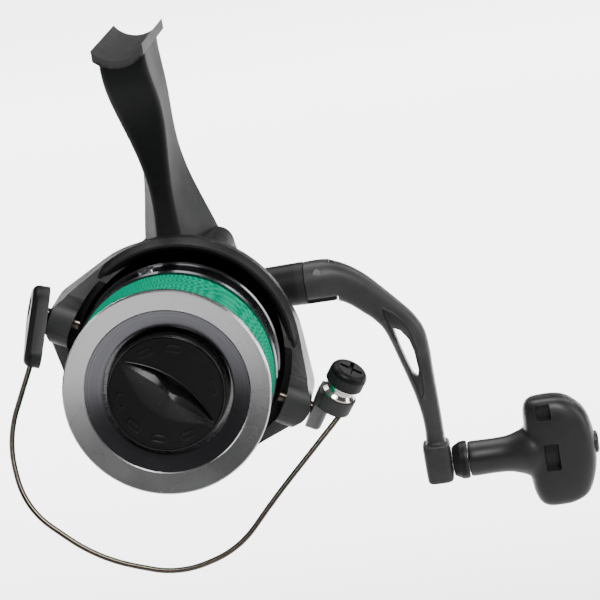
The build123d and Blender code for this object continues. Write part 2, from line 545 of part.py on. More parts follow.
wire_normal = Vector(-WIRE_LEAN_P, -WIRE_LEAN_Q, 1.0).normalized()
wire_origin = wire_point(0, 0)
wire_plane = on_rotor(Plane(origin=wire_origin, x_dir=(wire_point(1, 0) - wire_origin), z_dir=wire_normal))
with BuildPart() as bail_wire:
    world_points = [ROTOR_FRAME.from_local_coords(wire_point(p, q)) for p, q in WIRE_PATH]
    flat_points = [wire_plane.to_local_coords(point) for point in world_points]
    with BuildLine(wire_plane) as wire_line:
        FilletPolyline(*[(point.X, point.Y) for point in flat_points], radius=soft_radii(world_points))
    with BuildSketch(Plane(origin=wire_line.line @ 0, z_dir=wire_line.line % 0)):
        Circle(WIRE_R)
    sweep(path=wire_line.line)
keep(bail_wire, "bail_wire")

LEVER_ALONG = Vector(0, -0.616, 0.788)
LEVER_OUT = Vector(-1, 0, 0) + LEVER_ALONG * LEVER_SLOPE
lever_plane = on_rotor(Plane(origin=(-PIVOT_P - 1.1, 0, PIVOT_S), z_dir=LEVER_OUT,
                             x_dir=LEVER_ALONG + Vector(LEVER_SLOPE, 0, 0)))
with BuildPart() as bail_lever:
    with BuildSketch(lever_plane) as lever_outline:
        Circle(9.6)
        with Locations((20.3, 0)):
            Circle(4.3)
        make_hull()
    extrude(lever_outline.sketch, 6.2)
    fillet(far_face(bail_lever, lever_plane).edges(), 2.6)
    pivot_line = on_rotor(Plane(origin=(-62, 0, PIVOT_S), z_dir=(1, 0, 0)))
    bar(pivot_line, 2.2, 20.0, mode=Mode.SUBTRACT)
    bar(pivot_line, 4.1, 6.4, mode=Mode.SUBTRACT)
    add(bail_wire.part, mode=Mode.SUBTRACT)
keep(bail_lever, "bail_lever")

roller_plane = on_rotor(Plane(origin=ROLLER_P, x_dir=Vector(1, 0, 0) - ROLLER_LEAN * ROLLER_LEAN.X,
                              z_dir=ROLLER_LEAN))
SUPPORT = (-8.2, -2.6)     # lower roller support, along the roller's axis from its middle
CAP = (2.6, 9.0)
ROLLER_END_R = 7.0
with BuildPart() as bail_arm:
    support_middle = Vector(*ROLLER_P) + ROLLER_LEAN * (sum(SUPPORT) / 2)
    with BuildSketch(on_rotor(Plane.YZ.offset(PIVOT_P + 0.6))) as arm_outline:
        with Locations((0, PIVOT_S)):
            Circle(7.6)
        with Locations((support_middle.Y, support_middle.Z)):
            Circle(5.2)
        make_hull()
    extrude(arm_outline.sketch, 5.6)
    fillet(bail_arm.faces().sort_by(lambda face: ROTOR_FRAME.to_local_coords(face.center()).X)[-1].edges(), 2.0)
    bar(roller_plane.offset(SUPPORT[1]), ROLLER_END_R + 2.5, 16.0, mode=Mode.SUBTRACT)
    bar(roller_plane.offset(SUPPORT[0]), ROLLER_END_R, SUPPORT[1] - SUPPORT[0])
    boss_line = on_rotor(Plane(origin=(62, 0, PIVOT_S), z_dir=(-1, 0, 0)))
    bar(boss_line, 2.2, 20.0, mode=Mode.SUBTRACT)
    bar(boss_line, 4.1, 6.4, mode=Mode.SUBTRACT)
    bar(roller_plane.offset(SUPPORT[0] - 1), 1.5, 10.0, mode=Mode.SUBTRACT)
    add(bail_wire.part, mode=Mode.SUBTRACT)
keep(bail_arm, "bail_arm")

with BuildPart() as line_roller:
    roller_line = Plane(origin=roller_plane.origin, x_dir=roller_plane.z_dir, z_dir=roller_plane.x_dir)
    roller_axis = Axis(roller_plane.origin, roller_plane.z_dir)
    turn([(-2.3, 3.3), (2.3, 3.3), (2.3, 6.3), (1.7, 6.3), (0.6, 5.1), (-0.6, 5.1), (-1.7, 6.3), (-2.3, 6.3)],
         plane=roller_line, axis=roller_axis)
keep(line_roller, "line_roller")

with BuildPart() as roller_bearing:
    with BuildSketch(roller_plane.offset(-2.2)) as bush:
        Circle(3.3 - RUN)
        Circle(1.52, mode=Mode.SUBTRACT)
    extrude(bush.sketch, 4.4)
keep(roller_bearing, "roller_bearing")

with BuildPart() as roller_cap:
    bar(roller_plane.offset(CAP[0]), ROLLER_END_R, CAP[1] - CAP[0])
    fillet(far_face(roller_cap, roller_plane).edges(), 2.4)
    bar(roller_plane.offset(SUPPORT[0] + 0.6), 1.48, 11.0)
    with BuildSketch(roller_plane.offset(CAP[1])) as cap_slot:
        Rectangle(8.6, 1.5)
        Rectangle(1.5, 8.6)
    extrude(cap_slot.sketch, -1.2, mode=Mode.SUBTRACT)
keep(roller_cap, "roller_cap")

with BuildPart() as bail_pivot_screws:
    for side in (1, -1):
        screw_line = on_rotor(Plane(origin=(side * 39.0, 0, PIVOT_S), z_dir=(side, 0, 0)))
        bar(screw_line, 2.2 - RUN, 17.0)
        bar(screw_line.offset(16.7), 3.95, 1.6)
        with BuildSketch(screw_line.offset(18.3)) as drive_slot:
            Rectangle(5.0, 1.0)
            Rectangle(1.0, 5.0)
        extrude(drive_slot.sketch, -0.9, mode=Mode.SUBTRACT)
keep(bail_pivot_screws, "bail_pivot_screws")

with BuildPart() as bail_spring:
    spring_plane = on_rotor(Plane(origin=(45.9, 0, -6.2), z_dir=(0, 0, 1)))
    with BuildLine():
        coil = Helix(1.3, 6.5, 1.0, center=spring_plane.origin, direction=spring_plane.z_dir)
    with BuildSketch(Plane(origin=coil @ 0, z_dir=coil % 0)):
        Circle(0.25)
    sweep(path=coil)
keep(bail_spring, "bail_spring")

# ---------------------------------------------------------------- spool
CLIP_ANGLE = math.radians(98.0)
CLIP_OUT = Vector(math.cos(CLIP_ANGLE), 0, math.sin(CLIP_ANGLE))
CLIP_FOOT = Vector(0, -20.5, AXIS_Z) + CLIP_OUT * (SKIRT_R + 0.02)
CLIP_PLANE = Plane(origin=CLIP_FOOT, x_dir=(0, 1, 0), z_dir=CLIP_OUT)
with BuildPart() as spool_body:
    turn([(-56.2, WELL_R), (-57.9, 29.3), (-55.1, 29.3), (-55.1, 34.6), (-54.2, 34.2), (-53.5, ARBOR_R),
          (-28.5, ARBOR_R), (-27.8, 36.7), (-26.6, 37.2), (-25.4, SKIRT_R), (-12.2, SKIRT_R), (-11.6, 37.1),
          (SKIRT_END_Y, 37.1), (SKIRT_END_Y, 34.4), (-25.0, 33.8), (-29.0, 24.5), (-40.0, 24.5),
          (-40.0, SHAFT_R + RUN), (-43.0, SHAFT_R + RUN), (-43.0, WELL_R)])
    bar(CLIP_PLANE.offset(-4.0), 1.2, 5.0, mode=Mode.SUBTRACT)
keep(spool_body, "spool_body")

with BuildPart() as spool_lip:
    turn([(LIP_Y, 36.5), (LIP_Y + 0.5, LIP_R), (-57.2, LIP_R), (-55.15, 35.4), (-55.15, 29.35),
          (-58.0, 29.35), (-58.3, 29.7)])
keep(spool_lip, "spool_lip")

with BuildPart() as fishing_line:
    turn([(-53.4, ARBOR_R + 0.05), (-54.05, 34.0), (-54.0, 35.6), (-28.2, 36.5), (-28.0, 36.0),
          (-28.6, ARBOR_R + 0.05)])
keep(fishing_line, "fishing_line")

with BuildPart() as line_clip:
    with BuildSketch(CLIP_PLANE) as clip_outline:
        RectangleRounded(7.0, 6.0, 2.0)
    extrude(clip_outline.sketch, 1.1)
    bar(CLIP_PLANE.offset(-1.6), 1.18, 1.8)
keep(line_clip, "line_clip")

with BuildPart() as click_gear:
    with BuildSketch(front_face(-38.9)) as click_outline:
        with BuildLine():
            Polyline(*gear_face(36, 17.2, 19.0, 0.5), close=True)
        make_face()
        Circle(8.0, mode=Mode.SUBTRACT)
    extrude(click_outline.sketch, 1.05)
keep(click_gear, "click_gear")

DRAG_STACK_Y = -43.05
DISC = 1.1
with BuildPart() as drag_discs_felt:
    for layer in (0, 2, 4):
        ring(DRAG_STACK_Y - DISC * (layer + 1) + 0.02, DRAG_STACK_Y - DISC * layer, 6.0, 21.8)
keep(drag_discs_felt, "drag_discs_felt")

with BuildPart() as drag_discs_steel:
    for layer in (1, 3):
        ring(DRAG_STACK_Y - DISC * (layer + 1) + 0.02, DRAG_STACK_Y - DISC * layer, SHAFT_R + RUN, 22.4)
keep(drag_discs_steel, "drag_discs_steel")

with BuildPart() as drag_retainer:
    with BuildSketch(front_face(-48.9)) as wire_ring:
        Circle(WELL_R - 0.05)
        Circle(WELL_R - 1.3, mode=Mode.SUBTRACT)
        with Locations((0, WELL_R)):
            Rectangle(7.0, 6.0, mode=Mode.SUBTRACT)
    extrude(wire_ring.sketch, 0.9)
keep(drag_retainer, "drag_retainer")

# ---------------------------------------------------------------- drag knob
DRAG_KNOB_R = 21.3
BLADE_ANGLE = -42.4        # the grip's direction at rest, seen from the front
KNOB_FACE_Y = -60.6
with BuildPart() as drag_knob:
    turn([(-51.2, 8.4), (-51.2, 19.6), (-52.0, 20.6), (-59.2, DRAG_KNOB_R), (-60.2, DRAG_KNOB_R - 0.4),
          (KNOB_FACE_Y, DRAG_KNOB_R - 1.6), (KNOB_FACE_Y, 0), (-57.0, 0), (-57.0, 8.4)])
    blade_frame = Plane(origin=(0, KNOB_FACE_Y, AXIS_Z), z_dir=(0, -1, 0),
                        x_dir=(math.cos(math.radians(BLADE_ANGLE)), 0, math.sin(math.radians(BLADE_ANGLE))))
    with BuildSketch(blade_frame) as pocket_lens:
        with BuildLine():
            ThreePointArc((-19.2, 0.6), (0, 6.4), (19.2, 0.6))
            ThreePointArc((19.2, 0.6), (0, -6.6), (-19.2, 0.6))
        make_face()
    extrude(pocket_lens.sketch, -2.6, mode=Mode.SUBTRACT, taper=-18)
    with BuildSketch(blade_frame.offset(-2.7)) as blade_lens:
        with BuildLine():
            ThreePointArc((-18.8, 0.0), (0, 3.4), (18.8, 0.0))
            ThreePointArc((18.8, 0.0), (0, -4.4), (-18.8, 0.0))
        make_face()
    extrude(blade_lens.sketch, 7.2, taper=13)
    with BuildSketch(blade_frame) as shallow:
        with PolarLocations(17.6, 8, start_angle=42, angular_range=360):
            SlotOverall(4.8, 1.9, rotation=90)
        with Locations((0, 0)):
            Rectangle(40, 14, mode=Mode.SUBTRACT)
    extrude(shallow.sketch, -0.5, mode=Mode.SUBTRACT)
keep(drag_knob, "drag_knob")

with BuildPart() as drag_nut:
    with BuildSketch(front_face(-50.4)) as nut_outline:
        RegularPolygon(8.2, 6)
        Circle(SHAFT_R + RUN, mode=Mode.SUBTRACT)
    extrude(nut_outline.sketch, 6.0)
keep(drag_nut, "drag_nut")

with BuildPart() as drag_seal:
    ring(-51.1, -50.0, 9.6, 21.2)
keep(drag_seal, "drag_seal")

# ---------------------------------------------------------------- handle
SEAM_X = 46.0
HUB_X = SEAM_X + 0.3
COLLAR_HALF = 8.25
PIN_X, PIN_RISE = 51.4, 4.4
FORK_END_X = 58.0
TONGUE = 2.5               # half thickness of the hinge tongue
ARM_HALF = 5.2             # half thickness of the handle arm
KNOB_X = 91.0

with BuildPart() as handle_shank:
    shank_profile = Plane(origin=(0, CRANK_Y, CRANK_Z), x_dir=(1, 0, 0), z_dir=(0, 1, 0))
    turn([(-13.5, 0), (SEAM_X, 0), (SEAM_X, COLLAR_HALF), (23.2, COLLAR_HALF - 0.5),
          (21.4, COLLAR_HALF - 1.6), (20.8, 3.0), (-13.5, 3.0)], plane=shank_profile, axis=CRANK_AXIS)
    block(CRANK_PLANE.offset(-TONGUE), [(SEAM_X - 2, 7.6), (56.0, 7.6), (57.2, 4.0), (57.2, -7.9),
                                        (SEAM_X - 2, -7.9)], 2 * TONGUE)
    with BuildSketch(CRANK_PLANE.offset(-9)) as pin_hole:
        with Locations((PIN_X, PIN_RISE)):
            Circle(1.5 + 0.02)
    extrude(pin_hole.sketch, 18, mode=Mode.SUBTRACT)
keep(handle_shank, "handle_shank")

with BuildPart() as fold_pin:
    with BuildSketch(CRANK_PLANE.offset(-7.4)) as pin:
        with Locations((PIN_X, PIN_RISE)):
            Circle(1.5)
    extrude(pin.sketch, 14.6)
keep(fold_pin, "fold_pin")

with BuildPart() as handle_arm:
    with BuildSketch(CRANK_PLANE.offset(-ARM_HALF)) as arm_outline:
        with BuildLine():
            Polyline((HUB_X, 8.2), (55.5, 8.2), (62.0, 5.2), (68.0, 0.6), (75.0, -6.4), (81.6, -13.4),
                     (87.4, -22.0), (89.3, -32.0), (90.0, -48.0), (90.0, -72.0), (82.2, -72.0), (82.2, -58.0),
                     (79.6, -44.0), (75.6, -28.8), (71.8, -19.8), (65.1, -13.2), (58.4, -8.2), (HUB_X, -8.2),
                     close=True)
        make_face()
        bends = arm_outline.vertices().filter_by_position(Axis.X, HUB_X + 1, KNOB_X)
        fillet(bends, 3.4)
    extrude(arm_outline.sketch, 2 * ARM_HALF)
    fillet(broad_edges(handle_arm), 2.0)
    # Rounded hub that carries on the collar's shape.
    turn([(HUB_X, 0), (FORK_END_X + 1.5, 0), (FORK_END_X + 1.5, COLLAR_HALF - 1.2), (FORK_END_X - 2, COLLAR_HALF),
          (HUB_X, COLLAR_HALF)], plane=shank_profile, axis=CRANK_AXIS)
    block(CRANK_PLANE.offset(-TONGUE - 0.25), [(SEAM_X - 1, 12), (FORK_END_X, 12), (FORK_END_X, -12),
                                               (SEAM_X - 1, -12)], 2 * TONGUE + 0.5, mode=Mode.SUBTRACT)
    block(CRANK_PLANE.offset(-12), [(SEAM_X - 1, -5.6), (FORK_END_X, -5.6), (FORK_END_X, -12),
                                    (SEAM_X - 1, -12)], 24, mode=Mode.SUBTRACT)
    # The corner beside the pin is rounded, so that the arm clears the collar as it folds.
    with BuildSketch(CRANK_PLANE.offset(-12)) as corner:
        with Locations((PIN_X - 3.2, PIN_RISE + 2.5)):
            Rectangle(6.4, 5.0)
        with Locations((PIN_X, PIN_RISE)):
            Circle(5.08, mode=Mode.SUBTRACT)
    extrude(corner.sketch, 24, mode=Mode.SUBTRACT)
    with BuildSketch(CRANK_PLANE.offset(-12)) as pin_hole:
        with Locations((PIN_X, PIN_RISE)):
            Circle(1.5 + RUN)
    extrude(pin_hole.sketch, 24, mode=Mode.SUBTRACT)
    # Recess between the two ribs, and the window through it.
    for side in (-1, 1):
        with BuildSketch(CRANK_PLANE.offset(side * (ARM_HALF + 0.1))) as recess:
            with BuildLine():
                Polyline((72.8, -14.0), (79.4, -20.4), (84.6, -29.5), (86.0, -41.0), (85.6, -55.0), (83.6, -55.0),
                         (81.2, -43.0), (77.6, -29.6), (74.6, -21.2), close=True)
            make_face()
            fillet(recess.vertices(), 0.8)
        extrude(recess.sketch, -side * 2.5, mode=Mode.SUBTRACT)
    with BuildSketch(CRANK_PLANE.offset(-12)) as window:
        with BuildLine():
            Polyline((76.8, -22.6), (79.6, -24.8), (81.8, -30.2), (83.0, -39.2), (82.0, -40.8), (79.8, -34.0),
                     close=True)
        make_face()
        fillet(window.vertices(), 0.5)
    extrude(window.sketch, 24, mode=Mode.SUBTRACT)
    bar(Plane(origin=(KNOB_X - 10.0, CRANK_Y, KNOB_Z), z_dir=(1, 0, 0)), 6.8, 10.0)
    bar(Plane(origin=(KNOB_X - 12.0, CRANK_Y, KNOB_Z), z_dir=(1, 0, 0)), 3.02, 14.0, mode=Mode.SUBTRACT)
keep(handle_arm, "handle_arm")

knob_profile = Plane(origin=(0, CRANK_Y, KNOB_Z), x_dir=(1, 0, 0), z_dir=(0, 1, 0))
with BuildPart() as knob_spindle:
    turn([(KNOB_X - 9.8, 0), (142.0, 0), (142.0, 3.0), (KNOB_X - 9.8, 3.0)], plane=knob_profile, axis=KNOB_AXIS)
keep(knob_spindle, "knob_spindle")

with BuildPart() as knob_collar:
    turn([(91.5, 3.0 + RUN), (97.4, 3.0 + RUN), (97.4, 7.2), (96.2, 7.4), (94.6, 7.3), (91.9, 5.8), (91.5, 5.2)],
         plane=knob_profile, axis=KNOB_AXIS)
keep(knob_collar, "knob_collar")

PADDLE_HALF = 8.6
with BuildPart() as handle_knob:
    with BuildSketch(KNOB_PLANE.offset(-PADDLE_HALF)) as paddle:
        with BuildLine():
            Polyline((120.6, -9.0), (121.6, -17.5), (125.4, -22.0), (136.0, -22.0), (142.2, -19.0), (145.0, -8.0),
                     (145.4, 3.0), (143.2, 14.0), (136.0, 20.2), (124.5, 20.8), (120.8, 17.0), (120.6, 9.0),
                     close=True)
        make_face()
        fillet(paddle.vertices(), 1.9)
    extrude(paddle.sketch, 2 * PADDLE_HALF)
    fillet(broad_edges(handle_knob), 3.0)
    turn([(97.5, 0), (124.0, 0), (124.0, 10.2), (120.8, 9.8), (116.5, 8.0), (112.0, 7.1), (98.6, 7.1),
          (98.4, 6.5), (97.5, 6.5)], plane=knob_profile, axis=KNOB_AXIS)
    for x0, x1, z0, z1 in ((126.2, 130.8, 13.4, 19.2), (127.6, 132.2, -5.4, 3.4)):
        for face_y in (-PADDLE_HALF - 0.1, PADDLE_HALF + 0.1):
            block(KNOB_PLANE.offset(face_y), [(x0, z0), (x1, z0), (x1, z1), (x0, z1)],
                  -3.1 if face_y > 0 else 3.1, mode=Mode.SUBTRACT)
    turn([(90, 0), (150, 0), (150, 4.4), (143.2, 4.4), (143.2, 5.0), (137.0, 5.0), (137.0, 3.0 + RUN),
          (101.5, 3.0 + RUN), (101.5, 5.0), (90, 5.0)], plane=knob_profile, axis=KNOB_AXIS, mode=Mode.SUBTRACT)
keep(handle_knob, "handle_knob")

with BuildPart() as knob_bearings:
    for x0 in (98.0, 138.0):
        turn([(x0, 3.0 + RUN), (x0 + 3.4, 3.0 + RUN), (x0 + 3.4, 4.97), (x0, 4.97)], plane=knob_profile,
             axis=KNOB_AXIS)
keep(knob_bearings, "knob_bearings")

with BuildPart() as knob_cap:
    turn([(143.3, 0), (147.6, 0), (148.0, 3.4), (147.4, 4.35), (143.3, 4.35)], plane=knob_profile, axis=KNOB_AXIS)
keep(knob_cap, "knob_cap")

# ---------------------------------------------------------------- anti-reverse switch under the gearbox
LEVER_TURN_Y, LEVER_TURN_X = 34.0, -4.0
LEVER_Z = AXIS_Z - 25.0
with BuildPart() as anti_reverse_lever:
    with BuildSketch(Plane.XY.offset(LEVER_Z - 2.8)) as lever_shape:
        with Locations((LEVER_TURN_X, LEVER_TURN_Y)):
            Circle(4.0)
        with Locations((LEVER_TURN_X, LEVER_TURN_Y + 13.0)):
            Circle(2.4)
        make_hull()
    extrude(lever_shape.sketch, 2.2)
    with BuildSketch(Plane.XY.offset(LEVER_Z - 5.2)) as thumb:
        with Locations((LEVER_TURN_X, LEVER_TURN_Y + 11.5)):
            SlotOverall(6.4, 2.6)
    extrude(thumb.sketch, 2.6)
    bar(Plane(origin=(LEVER_TURN_X, LEVER_TURN_Y, LEVER_Z - 1.0), z_dir=(0, 0, 1)), 1.95, 5.0)
keep(anti_reverse_lever, "anti_reverse_lever")
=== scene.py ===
"""Looks of the spinning reel: materials on every piece, finer shapes for four pieces, light and camera."""
import math

import bmesh
import bpy
from mathutils import Matrix, Vector


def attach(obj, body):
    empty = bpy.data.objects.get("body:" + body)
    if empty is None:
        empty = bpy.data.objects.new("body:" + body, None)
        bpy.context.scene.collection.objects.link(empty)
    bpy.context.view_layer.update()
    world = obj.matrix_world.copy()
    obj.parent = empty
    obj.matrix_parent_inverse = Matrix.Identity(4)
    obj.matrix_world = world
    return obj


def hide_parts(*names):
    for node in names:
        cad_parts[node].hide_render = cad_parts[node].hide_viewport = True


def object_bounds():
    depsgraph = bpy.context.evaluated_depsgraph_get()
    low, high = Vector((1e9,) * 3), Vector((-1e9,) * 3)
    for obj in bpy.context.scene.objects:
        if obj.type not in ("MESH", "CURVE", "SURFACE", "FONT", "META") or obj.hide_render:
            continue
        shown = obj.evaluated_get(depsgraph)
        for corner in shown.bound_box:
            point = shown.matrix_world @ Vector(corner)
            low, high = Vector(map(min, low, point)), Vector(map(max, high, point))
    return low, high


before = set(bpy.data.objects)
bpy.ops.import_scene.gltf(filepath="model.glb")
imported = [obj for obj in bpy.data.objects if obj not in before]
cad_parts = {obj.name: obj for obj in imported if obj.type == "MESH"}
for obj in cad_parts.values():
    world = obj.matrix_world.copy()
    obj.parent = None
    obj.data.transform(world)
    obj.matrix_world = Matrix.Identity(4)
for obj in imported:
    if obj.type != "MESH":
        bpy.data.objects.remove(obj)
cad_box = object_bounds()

MM = 0.001
AXIS_Z = -0.1265           # spool axis
FINE_BUMP = 0.00003        # height of turning and brushing marks
GRAIN_BUMP = 0.00004       # height of the grain in paint and plastic
WORN_EDGE = (0.12, 0.12, 0.12, 1)


# ---------------------------------------------------------------- materials
def new_material(name):
    """An empty node material with its shader and output; returns material, nodes, links and shader."""
    material = bpy.data.materials.new(name)
    material.use_nodes = True
    nodes, links = material.node_tree.nodes, material.node_tree.links
    nodes.clear()
    shader = nodes.new("ShaderNodeBsdfPrincipled")
    output = nodes.new("ShaderNodeOutputMaterial")
    links.new(shader.outputs["BSDF"], output.inputs["Surface"])
    return material, nodes, links, shader


def position(nodes, links, scale=(1, 1, 1), rotation=(0, 0, 0)):
    """Object coordinates, scaled and turned."""
    coords = nodes.new("ShaderNodeTexCoord")
    mapping = nodes.new("ShaderNodeMapping")
    mapping.inputs["Scale"].default_value = scale
    mapping.inputs["Rotation"].default_value = rotation
    links.new(coords.outputs["Object"], mapping.inputs["Vector"])
    return mapping.outputs["Vector"]


def noise(nodes, links, vector, scale, detail=4.0, rough=0.55):
    """A noise texture on a vector."""
    texture = nodes.new("ShaderNodeTexNoise")
    texture.inputs["Scale"].default_value = scale
    texture.inputs["Detail"].default_value = detail
    texture.inputs["Roughness"].default_value = rough
    links.new(vector, texture.inputs["Vector"])
    return texture.outputs["Fac"]


def spread(nodes, links, value, low, high, from_low=0.3, from_high=0.7):
    """Map a texture's middle range to low..high."""
    ranger = nodes.new("ShaderNodeMapRange")
    ranger.inputs["From Min"].default_value = from_low
    ranger.inputs["From Max"].default_value = from_high
    ranger.inputs["To Min"].default_value = low
    ranger.inputs["To Max"].default_value = high
    links.new(value, ranger.inputs["Value"])
    return ranger.outputs["Result"]


def two_tone(nodes, links, value, dark, light, low=0.35, high=0.65):
    """A colour ramp between two colours."""
    ramp = nodes.new("ShaderNodeValToRGB")
    ramp.color_ramp.elements[0].position = low
    ramp.color_ramp.elements[0].color = (*dark, 1)
    ramp.color_ramp.elements[1].position = high
    ramp.color_ramp.elements[1].color = (*light, 1)
    links.new(value, ramp.inputs["Fac"])
    return ramp.outputs["Color"]


def bump(nodes, links, shader, height, strength, distance):
    """Add a bump to a shader."""
    node = nodes.new("ShaderNodeBump")
    node.inputs["Strength"].default_value = strength
    node.inputs["Distance"].default_value = distance
    links.new(height, node.inputs["Height"])
    links.new(node.outputs["Normal"], shader.inputs["Normal"])


def edge_wear(nodes, links):
    """Lighter where the surface turns sharply, from the geometry's pointiness."""
    geometry = nodes.new("ShaderNodeNewGeometry")
    return spread(nodes, links, geometry.outputs["Pointiness"], 0.0, 1.0, 0.52, 0.60)


def painted(name, dark, light, rough=(0.30, 0.42), grain=0.12, wear=0.3, ior=1.3):
    """Coated metal or moulded plastic: slow colour drift, fine orange-peel grain, and slightly worn edges."""
    material, nodes, links, shader = new_material(name)
    place = position(nodes, links)
    slow = noise(nodes, links, place, 55.0)
    fine = noise(nodes, links, place, 2600.0, 2.0)
    base = two_tone(nodes, links, slow, dark, light)
    mix = nodes.new("ShaderNodeMix")
    mix.data_type = "RGBA"
    mix.inputs["B"].default_value = WORN_EDGE
    amount = nodes.new("ShaderNodeMath")
    amount.operation = "MULTIPLY"
    amount.inputs[1].default_value = wear
    links.new(edge_wear(nodes, links), amount.inputs[0])
    links.new(amount.outputs[0], mix.inputs["Factor"])
    links.new(base, mix.inputs["A"])
    links.new(mix.outputs["Result"], shader.inputs["Base Color"])
    links.new(spread(nodes, links, slow, rough[0], rough[1]), shader.inputs["Roughness"])
    shader.inputs["IOR"].default_value = ior
    bump(nodes, links, shader, fine, grain, GRAIN_BUMP)
    return material


def turned_metal(name, dark, light, rough=(0.18, 0.3), lines=5200.0, depth=0.05):
    """Metal turned on a lathe about the spool axis: fine rings in colour and bump, slow change in roughness."""
    material, nodes, links, shader = new_material(name)
    coords = nodes.new("ShaderNodeTexCoord")
    shift = nodes.new("ShaderNodeMapping")
    shift.inputs["Location"].default_value = (0, 0, -AXIS_Z)
    links.new(coords.outputs["Object"], shift.inputs["Vector"])
    parts = nodes.new("ShaderNodeSeparateXYZ")
    links.new(shift.outputs["Vector"], parts.inputs["Vector"])
    flat = nodes.new("ShaderNodeCombineXYZ")
    links.new(parts.outputs["X"], flat.inputs["X"])
    links.new(parts.outputs["Z"], flat.inputs["Z"])
    radius = nodes.new("ShaderNodeVectorMath")
    radius.operation = "LENGTH"
    links.new(flat.outputs["Vector"], radius.inputs[0])
    ring = nodes.new("ShaderNodeCombineXYZ")
    links.new(radius.outputs["Value"], ring.inputs["X"])
    links.new(parts.outputs["Y"], ring.inputs["Y"])
    grooves = noise(nodes, links, ring.outputs["Vector"], lines, 3.0, 0.7)
    slow = noise(nodes, links, shift.outputs["Vector"], 40.0)
    links.new(two_tone(nodes, links, grooves, dark, light, 0.3, 0.7), shader.inputs["Base Color"])
    links.new(spread(nodes, links, slow, rough[0], rough[1]), shader.inputs["Roughness"])
    shader.inputs["Metallic"].default_value = 1.0
    bump(nodes, links, shader, grooves, depth, FINE_BUMP)
    return material


def brushed(name, dark, light, rough=(0.2, 0.34), stretch=(30, 30, 900)):
    """Drawn or brushed metal with streaks along one direction."""
    material, nodes, links, shader = new_material(name)
    streaks = noise(nodes, links, position(nodes, links, stretch), 8.0, 5.0, 0.7)
    links.new(two_tone(nodes, links, streaks, dark, light), shader.inputs["Base Color"])
    links.new(spread(nodes, links, streaks, rough[0], rough[1]), shader.inputs["Roughness"])
    shader.inputs["Metallic"].default_value = 1.0
    bump(nodes, links, shader, streaks, 0.08, FINE_BUMP)
    return material


def felt_like(name, dark, light):
    """Fibrous matte stuff, such as drag felt."""
    material, nodes, links, shader = new_material(name)
    place = position(nodes, links)
    fibres = noise(nodes, links, place, 1800.0, 6.0, 0.8)
    links.new(two_tone(nodes, links, fibres, dark, light), shader.inputs["Base Color"])
    links.new(spread(nodes, links, fibres, 0.75, 0.95), shader.inputs["Roughness"])
    bump(nodes, links, shader, fibres, 0.5, 0.0002)
    return material


def braid(name):
    """Braided line: saturated green-blue fibres in a weave pattern, with painted shade darkening the gaps
    between the strands where the strand height is low.
    """
    material, nodes, links, shader = new_material(name)
    place = position(nodes, links)
    fibres = noise(nodes, links, position(nodes, links, (1, 3, 1)), 900.0, 5.0, 0.7)
    slow = noise(nodes, links, place, 120.0)
    weave = nodes.new("ShaderNodeTexWave")
    weave.wave_type = "BANDS"
    weave.bands_direction = "DIAGONAL"
    weave.inputs["Scale"].default_value = 520.0
    weave.inputs["Distortion"].default_value = 1.6
    links.new(place, weave.inputs["Vector"])
    mixer = nodes.new("ShaderNodeMix")
    mixer.data_type = "FLOAT"
    mixer.inputs["Factor"].default_value = 0.55
    links.new(fibres, mixer.inputs["A"])
    links.new(weave.outputs["Fac"], mixer.inputs["B"])
    depth = nodes.new("ShaderNodeAttribute")
    depth.attribute_name = "strand_height"
    shaded_weave = nodes.new("ShaderNodeMath")
    shaded_weave.operation = "MULTIPLY"
    links.new(mixer.outputs["Result"], shaded_weave.inputs[0])
    # Painted shade: the colour is darkened down to a quarter where the strands are low, in the gaps between
    # them.
    links.new(spread(nodes, links, depth.outputs["Fac"], 0.25, 1.0, 0.1, 0.75), shaded_weave.inputs[1])
    links.new(two_tone(nodes, links, shaded_weave.outputs[0], (0.0, 0.045, 0.022), (0.0, 0.42, 0.23), 0.12, 0.60),
              shader.inputs["Base Color"])
    shader.inputs["IOR"].default_value = 1.02
    links.new(spread(nodes, links, slow, 0.62, 0.8), shader.inputs["Roughness"])
    bump(nodes, links, shader, mixer.outputs["Result"], 0.35, 0.00012)
    return material


SATIN_BLACK = painted("satin_black", (0.009, 0.009, 0.010), (0.014, 0.014, 0.015), (0.36, 0.48), 0.22, ior=1.25)
STEM_BLACK = painted("stem_black", (0.008, 0.008, 0.009), (0.013, 0.013, 0.014), (0.60, 0.74), 0.30, ior=1.22)
HANDLE_BLACK = painted("handle_black", (0.022, 0.021, 0.021), (0.038, 0.036, 0.036), (0.38, 0.50), 0.6,
                       ior=1.42)
LEVER_BLACK = painted("lever_black", (0.004, 0.004, 0.004), (0.008, 0.008, 0.008), (0.36, 0.48), 0.3, ior=1.25)
GLOSS_BLACK = painted("gloss_black", (0.004, 0.004, 0.005), (0.007, 0.007, 0.008), (0.20, 0.28), 0.06)
WELL_BLACK = turned_metal("well_black", (0.12, 0.12, 0.13), (0.19, 0.19, 0.205), (0.16, 0.22), lines=2600.0,
                          depth=0.06)
ROTOR_BLACK = painted("rotor_black", (0.006, 0.006, 0.006), (0.011, 0.010, 0.010), (0.36, 0.46), 0.10, ior=1.25)
KNOB_BLACK = painted("knob_black", (0.004, 0.004, 0.0045), (0.006, 0.006, 0.0065), (0.26, 0.36), 0.2, wear=0.1)
PLASTIC = painted("moulded_plastic", (0.013, 0.012, 0.012), (0.021, 0.019, 0.020), (0.36, 0.48), 0.35, ior=1.42)
RUBBER = painted("rubber", (0.006, 0.006, 0.006), (0.011, 0.011, 0.011), (0.55, 0.7), 0.5)
LIP_SILVER = turned_metal("lip_silver", (0.50, 0.50, 0.51), (0.66, 0.66, 0.67), (0.22, 0.30), lines=4200.0)
POLISHED = turned_metal("polished_steel", (0.60, 0.60, 0.61), (0.80, 0.80, 0.81), (0.08, 0.16))
STEEL = brushed("brushed_steel", (0.38, 0.38, 0.39), (0.58, 0.58, 0.59))
